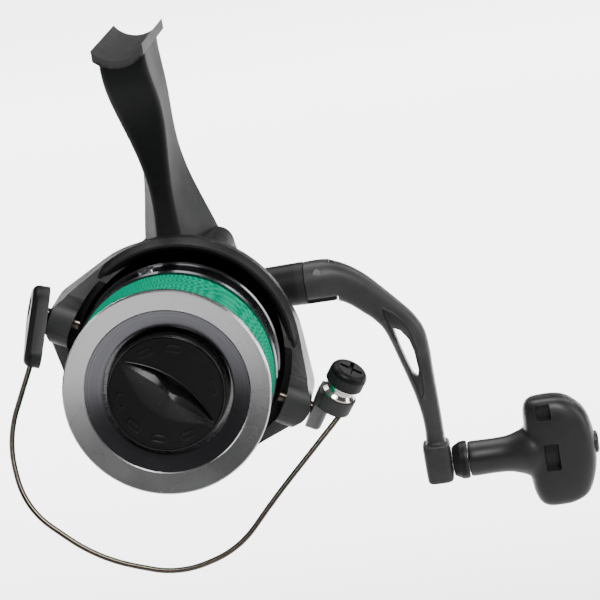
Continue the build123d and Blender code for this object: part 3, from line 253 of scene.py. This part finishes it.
GEAR_METAL = brushed("gear_metal", (0.36, 0.35, 0.32), (0.52, 0.51, 0.47), (0.28, 0.4))
BRASS = brushed("brass", (0.46, 0.30, 0.10), (0.66, 0.46, 0.18), (0.2, 0.32))
GUNMETAL = brushed("gunmetal", (0.060, 0.050, 0.040), (0.13, 0.11, 0.09), (0.18, 0.3), (400, 400, 400))
ROLLER_METAL = brushed("roller_metal", (0.52, 0.48, 0.44), (0.80, 0.76, 0.72), (0.08, 0.18), (60, 60, 60))
FELT = felt_like("drag_felt", (0.05, 0.04, 0.035), (0.16, 0.14, 0.12))
BRAID = braid("braided_line")

LOOKS = {
    "body_housing": STEM_BLACK, "side_cover": STEM_BLACK, "rear_cover": SATIN_BLACK, "shaft_cap": GLOSS_BLACK,
    "cover_screws": STEEL, "drive_bearing_left": POLISHED, "drive_bearing_right": POLISHED,
    "pinion_bearing_front": POLISHED, "pinion_bearing_rear": POLISHED, "one_way_clutch": POLISHED,
    "clutch_retainer": STEEL, "guide_rods": STEEL, "worm_bushes": BRASS, "drive_gear": GEAR_METAL,
    "pinion_gear": BRASS, "worm_gear": PLASTIC, "worm_shaft": STEEL, "main_shaft": STEEL,
    "oscillation_slider": GEAR_METAL, "slider_screw": STEEL, "rotor": ROTOR_BLACK, "rotor_nut": BRASS,
    "nut_lock_plate": STEEL, "arm_cover_right": SATIN_BLACK, "arm_cover_left": SATIN_BLACK,
    "bail_wire": GUNMETAL, "bail_lever": LEVER_BLACK, "bail_arm": LEVER_BLACK, "line_roller": ROLLER_METAL,
    "roller_bearing": PLASTIC, "roller_cap": LEVER_BLACK, "bail_pivot_screws": GUNMETAL, "bail_spring": STEEL,
    "spool_body": WELL_BLACK, "spool_lip": LIP_SILVER, "fishing_line": BRAID, "line_clip": STEEL,
    "click_gear": PLASTIC, "drag_discs_felt": FELT, "drag_discs_steel": STEEL, "drag_retainer": STEEL,
    "drag_knob": KNOB_BLACK, "drag_nut": BRASS, "drag_seal": RUBBER, "handle_shank": SATIN_BLACK,
    "fold_pin": STEEL, "handle_arm": HANDLE_BLACK, "knob_spindle": STEEL, "knob_collar": SATIN_BLACK,
    "handle_knob": PLASTIC, "knob_bearings": POLISHED, "knob_cap": GLOSS_BLACK, "anti_reverse_lever": PLASTIC,
}
for node_name, look in LOOKS.items():
    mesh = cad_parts[node_name].data
    if not mesh.materials:
        mesh.materials.append(look)
    for index in range(len(mesh.materials)):
        mesh.materials[index] = look


# ---------------------------------------------------------------- mesh helpers
AXIS_H = AXIS_Z / MM


def new_piece(name, vertices, faces, look):
    """A smooth mesh object in millimetres, brought to metres."""
    mesh = bpy.data.meshes.new(name)
    mesh.from_pydata([(x * MM, y * MM, z * MM) for x, y, z in vertices], [], faces)
    mesh.materials.append(look)
    mesh.validate()
    piece = bpy.data.objects.new(name, mesh)
    bpy.context.scene.collection.objects.link(piece)
    mesh.polygons.foreach_set("use_smooth", [True] * len(mesh.polygons))
    return piece


def apply_modifiers(piece):
    """Replace a piece's mesh by what its modifiers make of it."""
    graph = bpy.context.evaluated_depsgraph_get()
    made = bpy.data.meshes.new_from_object(piece.evaluated_get(graph))
    piece.modifiers.clear()
    piece.data = made


def cut(piece, cutter, operation="DIFFERENCE"):
    """Boolean a piece with another one, which is used up."""
    modifier = piece.modifiers.new("cut", "BOOLEAN")
    modifier.operation = operation
    modifier.solver = "EXACT"
    modifier.object = cutter
    apply_modifiers(piece)
    bpy.data.objects.remove(cutter)


def finish_edges(piece, angle, bevel=0.0):
    """Optional small bevel on sharp edges, then smooth shading with sharp edges kept."""
    if bevel:
        modifier = piece.modifiers.new("bevel", "BEVEL")
        modifier.width = bevel * MM
        modifier.segments = 2
        modifier.limit_method = "ANGLE"
        modifier.angle_limit = math.radians(angle)
        apply_modifiers(piece)
    piece.data.polygons.foreach_set("use_smooth", [True] * len(piece.data.polygons))
    piece.data.set_sharp_from_angle(angle=math.radians(angle))


def spline(a, b, c, d, t):
    """A Catmull-Rom point between b and c."""
    return 0.5 * (2 * b + (c - a) * t + (2 * a - 5 * b + 4 * c - d) * t * t + (3 * b - a - 3 * c + d) * t ** 3)


def catmull(rows, steps):
    """A smooth run of rows through the given ones, steps per gap."""
    out = []
    for i in range(len(rows) - 1):
        near = (rows[max(i - 1, 0)], rows[i], rows[i + 1], rows[min(i + 2, len(rows) - 1)])
        for k in range(steps):
            out.append(tuple(spline(*values, k / steps) for values in zip(*near)))
    out.append(tuple(rows[-1]))
    return out


def superellipse(count, power):
    """Unit points round a superellipse; a power of 2 is a circle."""
    points = []
    for i in range(count):
        c, s = math.cos(2 * math.pi * i / count), math.sin(2 * math.pi * i / count)
        points.append((math.copysign(abs(c) ** (2 / power), c), math.copysign(abs(s) ** (2 / power), s)))
    return points


def rings_to_mesh(rings, loop=False):
    """Join rings of equal length into vertices and faces; the ends are closed flat or joined in a loop."""
    count = len(rings[0])
    vertices = [point for ring in rings for point in ring]
    faces = []
    gaps = len(rings) if loop else len(rings) - 1
    for j in range(gaps):
        a, b = j * count, ((j + 1) % len(rings)) * count
        for i in range(count):
            k = (i + 1) % count
            faces.append((a + i, a + k, b + k, b + i))
    if not loop:
        faces.append(tuple(range(count))[::-1])
        faces.append(tuple((len(rings) - 1) * count + i for i in range(count)))
    return vertices, faces


def spool_ring(r, y, count):
    """A ring of points about the spool axis."""
    turns = [2 * math.pi * i / count for i in range(count)]
    return [(r * math.cos(turn), y, AXIS_H + r * math.sin(turn)) for turn in turns]


def revolve_x(name, profile, y, z, look, count=64):
    """Revolve (x, radius) points about a line along X."""
    rings = []
    for x, r in profile:
        turns = [2 * math.pi * i / count for i in range(count)]
        rings.append([(x, y + r * math.cos(turn), z + r * math.sin(turn)) for turn in turns])
    return new_piece(name, *rings_to_mesh(rings), look)


def plate(name, outline, y_front, y_back, look, back_outline=None):
    """A prism across Y from an (x, height above the spool axis) outline."""
    front = [(x, y_front, AXIS_H + h) for x, h in outline]
    back = [(x, y_back, AXIS_H + h) for x, h in (back_outline or outline)]
    piece = new_piece(name, *rings_to_mesh([front, back]), look)
    tidy_normals(piece)
    return piece


def tidy_normals(piece):
    """Turn all faces outward."""
    work = bmesh.new()
    work.from_mesh(piece.data)
    bmesh.ops.recalc_face_normals(work, faces=work.faces)
    work.to_mesh(piece.data)
    work.free()


def grown(outline, amount):
    """An outline moved outward (or inward) by an amount, each point along its corner's middle line."""
    area = sum(a[0] * b[1] - b[0] * a[1] for a, b in zip(outline, outline[1:] + outline[:1]))
    side = 1 if area > 0 else -1
    out = []
    for before, here, after in zip(outline[-1:] + outline[:-1], outline, outline[1:] + outline[:1]):
        edge_in = Vector((here[0] - before[0], here[1] - before[1])).normalized()
        edge_out = Vector((after[0] - here[0], after[1] - here[1])).normalized()
        normal = Vector((edge_in.y + edge_out.y, -edge_in.x - edge_out.x)).normalized() * side
        out.append((here[0] + normal.x * amount, here[1] + normal.y * amount))
    return out


# ---------------------------------------------------------------- handle
CRANK_Y = 42.0
CRANK_H = 11.2             # handle axis above the spool axis
KNOB_H = -66.8             # knob axis, measured the same way
# Handle arm sections: outer point (x, height), inner point (x, height), half thickness, squareness.
ARM_SECTIONS = [
    (46.3, 19.4, 46.3, 2.95, 8.15, 2.0), (50.5, 19.45, 50.5, 3.0, 8.1, 2.1),
    (54.5, 19.2, 54.8, 3.0, 7.6, 2.3), (59.0, 17.6, 58.6, 2.4, 6.8, 2.6),
    (64.0, 14.9, 62.0, 0.4, 6.2, 2.8), (69.5, 10.6, 65.6, -2.6, 5.8, 2.9),
    (75.0, 4.8, 69.3, -5.9, 5.6, 3.0), (80.6, -1.4, 72.3, -9.6, 5.4, 3.0),
    (85.0, -6.8, 74.0, -13.4, 5.3, 3.0), (88.2, -13.2, 75.6, -18.4, 5.2, 3.0),
    (89.2, -21.0, 77.3, -24.6, 5.1, 3.0), (89.3, -29.0, 79.1, -31.0, 5.0, 3.0),
    (89.5, -38.0, 81.0, -38.6, 4.9, 3.0), (89.7, -48.0, 82.5, -48.2, 4.9, 3.0),
    (89.8, -57.2, 82.4, -57.2, 5.0, 3.0), (90.6, -58.4, 81.2, -58.4, 6.4, 4.0),
    (91.1, -59.4, 80.7, -59.4, 7.0, 5.0), (91.2, -63.0, 80.7, -63.0, 7.1, 5.0),
    (91.2, -68.0, 80.8, -68.0, 7.1, 5.0), (91.1, -72.4, 81.0, -72.4, 7.0, 5.0),
    (90.6, -73.4, 81.6, -73.4, 6.4, 4.0)]
ARM_WINDOW = [(76.5, -10.4), (79.2, -11.8), (82.0, -15.9), (83.2, -20.6), (83.9, -28.6), (82.9, -31.6),
              (81.4, -29.8), (79.6, -24.0), (77.8, -17.4)]
ARM_POCKET = [(73.5, -1.6), (77.5, -4.2), (81.5, -8.5), (83.6, -13.0), (84.8, -20.0), (85.2, -30.0),
              (84.8, -37.5), (83.1, -39.9), (81.7, -34.0), (80.2, -28.0), (78.1, -21.0), (75.7, -12.5),
              (74.0, -6.0)]
ARM_CLEAR = 14.0           # farther from the arm's middle than any of its faces
POCKET_WEB = 3.2           # half thickness of the web left between the pockets
FORK_HALF = 2.75           # half width of the slot for the shank's tongue
FORK_X = (45.0, 58.0)      # reach of the fork
NOTCH_H = CRANK_H - 5.6    # the fork is open below this height


def make_handle_arm():
    """The cranked arm: a lofted bar with a window near its bend, pockets round it and a fork for the fold."""
    rings = []
    for x1, h1, x2, h2, thick, power in catmull(ARM_SECTIONS, 5):
        x_middle, h_middle = (x1 + x2) / 2, (h1 + h2) / 2
        x_half, h_half = (x1 - x2) / 2, (h1 - h2) / 2
        rings.append([(x_middle + u * x_half, CRANK_Y + v * thick, AXIS_H + h_middle + u * h_half)
                      for u, v in superellipse(48, power)])
    arm = new_piece("handle_arm_shape", *rings_to_mesh(rings), HANDLE_BLACK)
    tidy_normals(arm)
    for side in (-1, 1):
        outside, web = CRANK_Y + side * 12.0, CRANK_Y + side * POCKET_WEB
        cut(arm, plate("pocket", grown(ARM_POCKET, 0.5), outside, web, HANDLE_BLACK,
                       back_outline=grown(ARM_POCKET, -0.3)))
    front, back = CRANK_Y - ARM_CLEAR, CRANK_Y + ARM_CLEAR
    cut(arm, plate("window", ARM_WINDOW, front, back, HANDLE_BLACK))
    x0, x1 = FORK_X
    slot = [(x0, 25), (x1, 25), (x1, -5), (x0, -5)]
    cut(arm, plate("fork", slot, CRANK_Y - FORK_HALF, CRANK_Y + FORK_HALF, HANDLE_BLACK))
    notch = [(x0, NOTCH_H), (x1, NOTCH_H), (x1, -5), (x0, -5)]
    cut(arm, plate("notch", notch, CRANK_Y - 12, CRANK_Y + 12, HANDLE_BLACK))
    cut(arm, revolve_x("bore", [(80.0, 3.05), (93.0, 3.05)], CRANK_Y, AXIS_H + KNOB_H, HANDLE_BLACK, 32))
    finish_edges(arm, 38.0, 0.25)
    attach(arm, "handle")
    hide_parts("handle_arm")


# Knob paddle sections: height from the knob axis, left x, right x, half thickness.
PADDLE_SECTIONS = [(20.9, 125.8, 133.2, 3.2), (20.2, 122.8, 136.6, 5.8), (17.8, 121.0, 140.6, 7.7),
                   (13.0, 120.4, 144.6, 8.9), (6.0, 120.4, 146.5, 9.6), (0.0, 120.4, 146.9, 9.8),
                   (-7.0, 120.4, 146.4, 9.7), (-14.0, 120.8, 144.5, 9.2), (-19.0, 122.2, 141.8, 8.0),
                   (-21.5, 124.4, 137.2, 5.8), (-22.2, 127.0, 133.8, 3.0)]
KNOB_NECK = [(97.7, 6.4), (98.5, 6.9), (108.0, 6.8), (113.0, 7.1), (117.0, 8.2), (120.0, 9.4), (123.0, 9.9),
             (128.0, 9.0)]
KNOB_WINDOWS = ((125.6, 131.4, 12.9, 19.2), (126.9, 132.6, -6.9, 3.8))   # x and height ranges
KNOB_BORE = [(95.0, 5.0), (101.5, 5.0), (101.5, 3.06), (137.0, 3.06), (137.0, 5.0), (150.0, 5.0)]


def rounded_box(x0, x1, h0, h1, corner=0.9, steps=4):
    """An outline with rounded corners, heights measured from the spool axis."""
    left, right, low, high = x0 + corner, x1 - corner, h0 + corner, h1 - corner
    points = []
    for x, h, start in ((right, high, 0), (left, high, 90), (left, low, 180), (right, low, 270)):
        for k in range(steps + 1):
            angle = math.radians(start + 90 * k / steps)
            points.append((x + corner * math.cos(angle), h + corner * math.sin(angle)))
    return points


def make_handle_knob():
    """The T-shaped grip: neck and paddle run into each other softly, with two windows on each face."""
    knob_z = AXIS_H + KNOB_H
    rings = []
    for h, x0, x1, thick in catmull(PADDLE_SECTIONS, 4):
        middle, half = (x0 + x1) / 2, (x1 - x0) / 2
        rings.append([(middle + u * half, CRANK_Y + v * thick, knob_z + h) for u, v in superellipse(56, 3.0)])
    knob = new_piece("handle_knob_shape", *rings_to_mesh(rings), PLASTIC)
    tidy_normals(knob)
    neck = revolve_x("neck", catmull(KNOB_NECK, 4), CRANK_Y, knob_z, PLASTIC)
    tidy_normals(neck)
    cut(knob, neck, "UNION")
    remesh = knob.modifiers.new("remesh", "REMESH")
    remesh.mode = "VOXEL"
    remesh.voxel_size = 0.6 * MM
    smooth = knob.modifiers.new("smooth", "SMOOTH")
    smooth.factor = 0.5
    smooth.iterations = 14
    apply_modifiers(knob)
    for x0, x1, h0, h1 in KNOB_WINDOWS:
        outline = rounded_box(x0, x1, KNOB_H + h0, KNOB_H + h1)
        for side in (-1, 1):
            outside, floor = CRANK_Y + side * 14.0, CRANK_Y + side * 4.6
            cut(knob, plate("window", grown(outline, 0.3), outside, floor, PLASTIC,
                            back_outline=grown(outline, -0.3)))
    bore = revolve_x("bore", KNOB_BORE, CRANK_Y, knob_z, PLASTIC, 48)
    tidy_normals(bore)
    cut(knob, bore)
    finish_edges(knob, 40.0)
    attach(knob, "knob")
    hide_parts("handle_knob")


# ---------------------------------------------------------------- wound line
LINE_PITCH = 0.95          # strand to strand
LINE_DEPTH = 0.34          # of the gaps between strands
LINE_Y = (-53.95, -28.45)  # front and back of the wound line
LINE_R = 35.55             # its radius at the front
LINE_TAPER = 0.85          # how much wider it is at the back
ARBOR_R = 27.2             # inside of the wound line
LINE_AROUND = 300
ROWS_PER_PITCH = 5
SHOULDER_ROWS = 9.0        # rows over which each end rounds off


def strand_height(y, turn):
    """Height of the strands at a point, 0 to 1; which of two layers shows on top drifts round the spool."""
    drift = 5 * turn + 0.16 * y + 0.35 * math.sin(2 * math.pi * 3 * turn)
    over = 0.5 + 0.5 * math.sin(2 * math.pi * drift)
    strand_a = abs(math.cos(math.pi * (y / LINE_PITCH + turn)))
    strand_b = abs(math.cos(math.pi * (0.8 * y / LINE_PITCH - turn + 0.3)))
    return max(strand_a * (0.35 + 0.65 * over), strand_b * (1.0 - 0.65 * over))


def make_wound_line():
    """The braid as wound: strands side by side with a slight crossing slope, in two layers."""
    y0, y1 = LINE_Y
    rows = int((y1 - y0) / LINE_PITCH * ROWS_PER_PITCH)
    rings, heights = [], []
    for j in range(rows + 1):
        y = y0 + (y1 - y0) * j / rows
        base = LINE_R + LINE_TAPER * (j / rows)
        shoulder = min(1.0, j / SHOULDER_ROWS, (rows - j) / SHOULDER_ROWS)
        ring = []
        for i in range(LINE_AROUND):
            turn = i / LINE_AROUND
            height = strand_height(y, turn)
            heights.append(height)
            r = base + LINE_DEPTH * (height - 1.0) - 0.5 * (1 - shoulder) ** 2
            angle = 2 * math.pi * turn
            ring.append((r * math.cos(angle), y, AXIS_H + r * math.sin(angle)))
        rings.append(ring)
    for y in (y1 - 0.15, y0 + 0.3):
        rings.append(spool_ring(ARBOR_R, y, LINE_AROUND))
        # Height 0 here puts the inside ends of the line in full painted shade.
        heights += [0.0] * LINE_AROUND
    line = new_piece("wound_line", *rings_to_mesh(rings, loop=True), BRAID)
    # The heights are kept for the braid's colour, which paints shade into the low gaps.
    attribute = line.data.attributes.new("strand_height", "FLOAT", "POINT")
    attribute.data.foreach_set("value", heights)
    tidy_normals(line)
    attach(line, "spool")
    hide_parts("fishing_line")


# ---------------------------------------------------------------- drag knob
KNOB_FACE_Y = -60.6
KNOB_FACE_R = 19.9
KNOB_EDGE_R = 21.25
KNOB_AROUND = 360
KNOB_ACROSS = 104
# The back and side of the knob: y and radius, from the hollow for the nut to the groove round the face.
KNOB_SIDE = [(-57.0, 8.4), (-51.3, 8.4), (-51.3, 19.6), (-52.0, 20.6), (-59.1, KNOB_EDGE_R), (-59.9, 21.1),
             (-60.4, 20.7), (-60.55, 20.45), (-60.15, 20.3), (-60.15, 20.15), (-60.6, 20.0)]
GRIP_ANGLE = math.radians(-42.4)   # direction of the grip blade, seen from the front
GRIP_HALF = 19.6           # half length of the blade's pocket
GRIP_SHIFT = 0.6           # of the blade toward the upper right
PAD_STEP = 36              # degrees from pad to pad
PADS_LEFT_OUT = (1, 4, 9)  # gaps in the ring of pads
PAD_R = 16.6


def grip_relief(x, h):
    """Height of the knob's face at a point: a lens-shaped pocket with a twisted blade standing in it."""
    u = x * math.cos(GRIP_ANGLE) + h * math.sin(GRIP_ANGLE)
    v = -x * math.sin(GRIP_ANGLE) + h * math.cos(GRIP_ANGLE) - GRIP_SHIFT
    bow = 1.0 - (u / GRIP_HALF) ** 2
    if bow <= 0:
        return 0.0
    upper, lower = 5.4 * bow, -8.6 * bow
    if v >= upper:
        return 0.4 * math.exp(-((v - upper) / 0.3) ** 2) * min(1.0, 6 * bow)
    if v <= lower:
        return 0.0
    # The blade's top swings from one side of the middle to the other, with a nick where it crosses.
    nick = math.exp(-(u / 2.2) ** 2)
    crest_v = (0.5 - 0.9 * math.tanh(u / 3.0)) * bow
    top_width = (0.6 + 2.1 * min(1.0, abs(u + 1.0) / 6.0)) * bow ** 0.8
    crest = (4.4 - 1.0 * nick) * bow ** 0.6
    wall_v = crest_v + top_width
    if v > wall_v:
        wall = min(1.0, (v - wall_v) / max(0.3 * (upper - wall_v), 0.01))
        pocket_depth = 2.4 * min(1.0, 4 * bow)
        return (crest - 0.55 * top_width) * (1.0 - wall) - pocket_depth * wall
    if v > crest_v:
        return crest - 0.55 * (v - crest_v)
    flank = (crest_v - v) / max(crest_v - lower, 0.01)
    return crest * (1.0 - flank) ** 1.5


def pad_relief(x, h):
    """Thin raised outlines of rounded pads set round the knob's face."""
    angle, r = math.degrees(math.atan2(h, x)) % 360, math.hypot(x, h)
    nearest = round(angle / PAD_STEP)
    if nearest % 10 in PADS_LEFT_OUT:
        return 0.0
    along = abs(math.radians(angle - PAD_STEP * nearest) * r)
    distance = math.hypot(max(along - 1.7, 0.0), max(abs(r - PAD_R) - 0.25, 0.0))
    return 0.16 * math.exp(-((distance - 0.8) / 0.22) ** 2)


def make_drag_knob():
    """The knob of the front drag: relief face, rolled edge with a fine groove, and a hollow back."""
    rings = [spool_ring(r, y, KNOB_AROUND) for y, r in KNOB_SIDE]
    for j in range(KNOB_ACROSS, 0, -1):
        flat = spool_ring(KNOB_FACE_R * j / KNOB_ACROSS, KNOB_FACE_Y, KNOB_AROUND)
        rings.append([(x, y - grip_relief(x, z - AXIS_H) - pad_relief(x, z - AXIS_H), z) for x, y, z in flat])
    knob = new_piece("drag_knob_shape", *rings_to_mesh(rings), KNOB_BLACK)
    tidy_normals(knob)
    knob.data.set_sharp_from_angle(angle=math.radians(40))
    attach(knob, "drag")
    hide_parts("drag_knob")


make_handle_arm()
make_handle_knob()
make_wound_line()
make_drag_knob()


# ---------------------------------------------------------------- stage, light and camera
FLOOR_DROP = 0.22          # floor below the reel
FLOOR_HALF = 4.0           # half width of the floor
FLOOR_FRONT_Y = -3.0
BACKDROP_Y = 3.4
BACKDROP_CURVE = 0.6       # radius of the bend from floor to backdrop
BACKDROP_TOP = 0.64


def make_stage():
    """A pale floor that curves up behind the reel."""
    floor_z = cad_box[0][2] - FLOOR_DROP
    mesh = bpy.data.meshes.new("studio_floor")
    bend_y = BACKDROP_Y - BACKDROP_CURVE
    rows = [(FLOOR_FRONT_Y, 0.0), (bend_y, 0.0)]
    for i in range(1, 9):
        turn = math.pi / 16 * i
        along, rise = BACKDROP_CURVE * math.sin(turn), BACKDROP_CURVE - BACKDROP_CURVE * math.cos(turn)
        rows.append((bend_y + along, rise))
    rows.append((BACKDROP_Y, BACKDROP_TOP))
    vertices = [(x, y, floor_z + z) for y, z in rows for x in (-FLOOR_HALF, FLOOR_HALF)]
    faces = [(2 * i, 2 * i + 1, 2 * i + 3, 2 * i + 2) for i in range(len(rows) - 1)]
    mesh.from_pydata(vertices, [], faces)
    floor = bpy.data.objects.new("studio_floor", mesh)
    bpy.context.scene.collection.objects.link(floor)
    mesh.polygons.foreach_set("use_smooth", [True] * len(mesh.polygons))
    paper, _, _, shader = new_material("paper")
    shader.inputs["Base Color"].default_value = (0.93, 0.93, 0.93, 1)
    shader.inputs["Roughness"].default_value = 0.85
    mesh.materials.append(paper)


def area_light(name, place, target, size, energy, spread_angle=180.0):
    """A soft rectangular light aimed at a point, spreading over an angle in degrees."""
    data = bpy.data.lights.new(name, "AREA")
    data.shape = "RECTANGLE"
    data.size, data.size_y = size
    data.energy = energy
    data.spread = math.radians(spread_angle)
    light = bpy.data.objects.new(name, data)
    light.location = place
    light.rotation_euler = (Vector(target) - Vector(place)).to_track_quat("-Z", "Y").to_euler()
    bpy.context.scene.collection.objects.link(light)


def make_lights():
    """Soft boxes that draw highlights on the dark shapes, and broad light on the floor behind."""
    middle = (0.02, 0.0, -0.12)
    area_light("key_box", (0.35, -0.9, 0.75), middle, (0.40, 0.40), 15)
    area_light("left_box", (-1.0, -0.35, 0.35), middle, (0.25, 0.8), 4)
    area_light("right_box", (1.05, -0.1, 0.2), middle, (0.3, 0.8), 5)
    area_light("top_box", (0.0, 0.25, 0.9), middle, (0.7, 0.4), 4.5)
    area_light("floor_box", (0.0, 2.5, 0.75), (0.0, 2.501, -1.0), (4.6, 4.0), 330, 80.0)
    area_light("back_box", (0.9, 1.0, 0.7), middle, (0.5, 0.5), 4)
    world = bpy.data.worlds.new("studio_world")
    bpy.context.scene.world = world
    world.use_nodes = True
    background = world.node_tree.nodes["Background"]
    background.inputs["Color"].default_value = (1.0, 1.0, 1.0, 1)
    background.inputs["Strength"].default_value = 0.10


CAMERA_PLACE = Vector((0.14113, -1.07828, 0.11449))
CAMERA_RIGHT = Vector((0.9861, 0.0533, -0.1575))
CAMERA_UP = Vector((0.1426, 0.2161, 0.9659))
CAMERA_BACK = Vector((0.0855, -0.9749, 0.2055))


def make_camera():
    """The photograph's view: from the front, a little above and to the right, tilted a little."""
    data = bpy.data.cameras.new("camera")
    data.sensor_width = 36.0
    data.lens = 180.0
    data.clip_end = 20.0
    camera = bpy.data.objects.new("camera", data)
    turn = Matrix((CAMERA_RIGHT, CAMERA_UP, CAMERA_BACK)).transposed().to_4x4()
    camera.matrix_world = Matrix.Translation(CAMERA_PLACE) @ turn
    bpy.context.scene.collection.objects.link(camera)
    bpy.context.scene.camera = camera


make_camera()
make_stage()
make_lights()
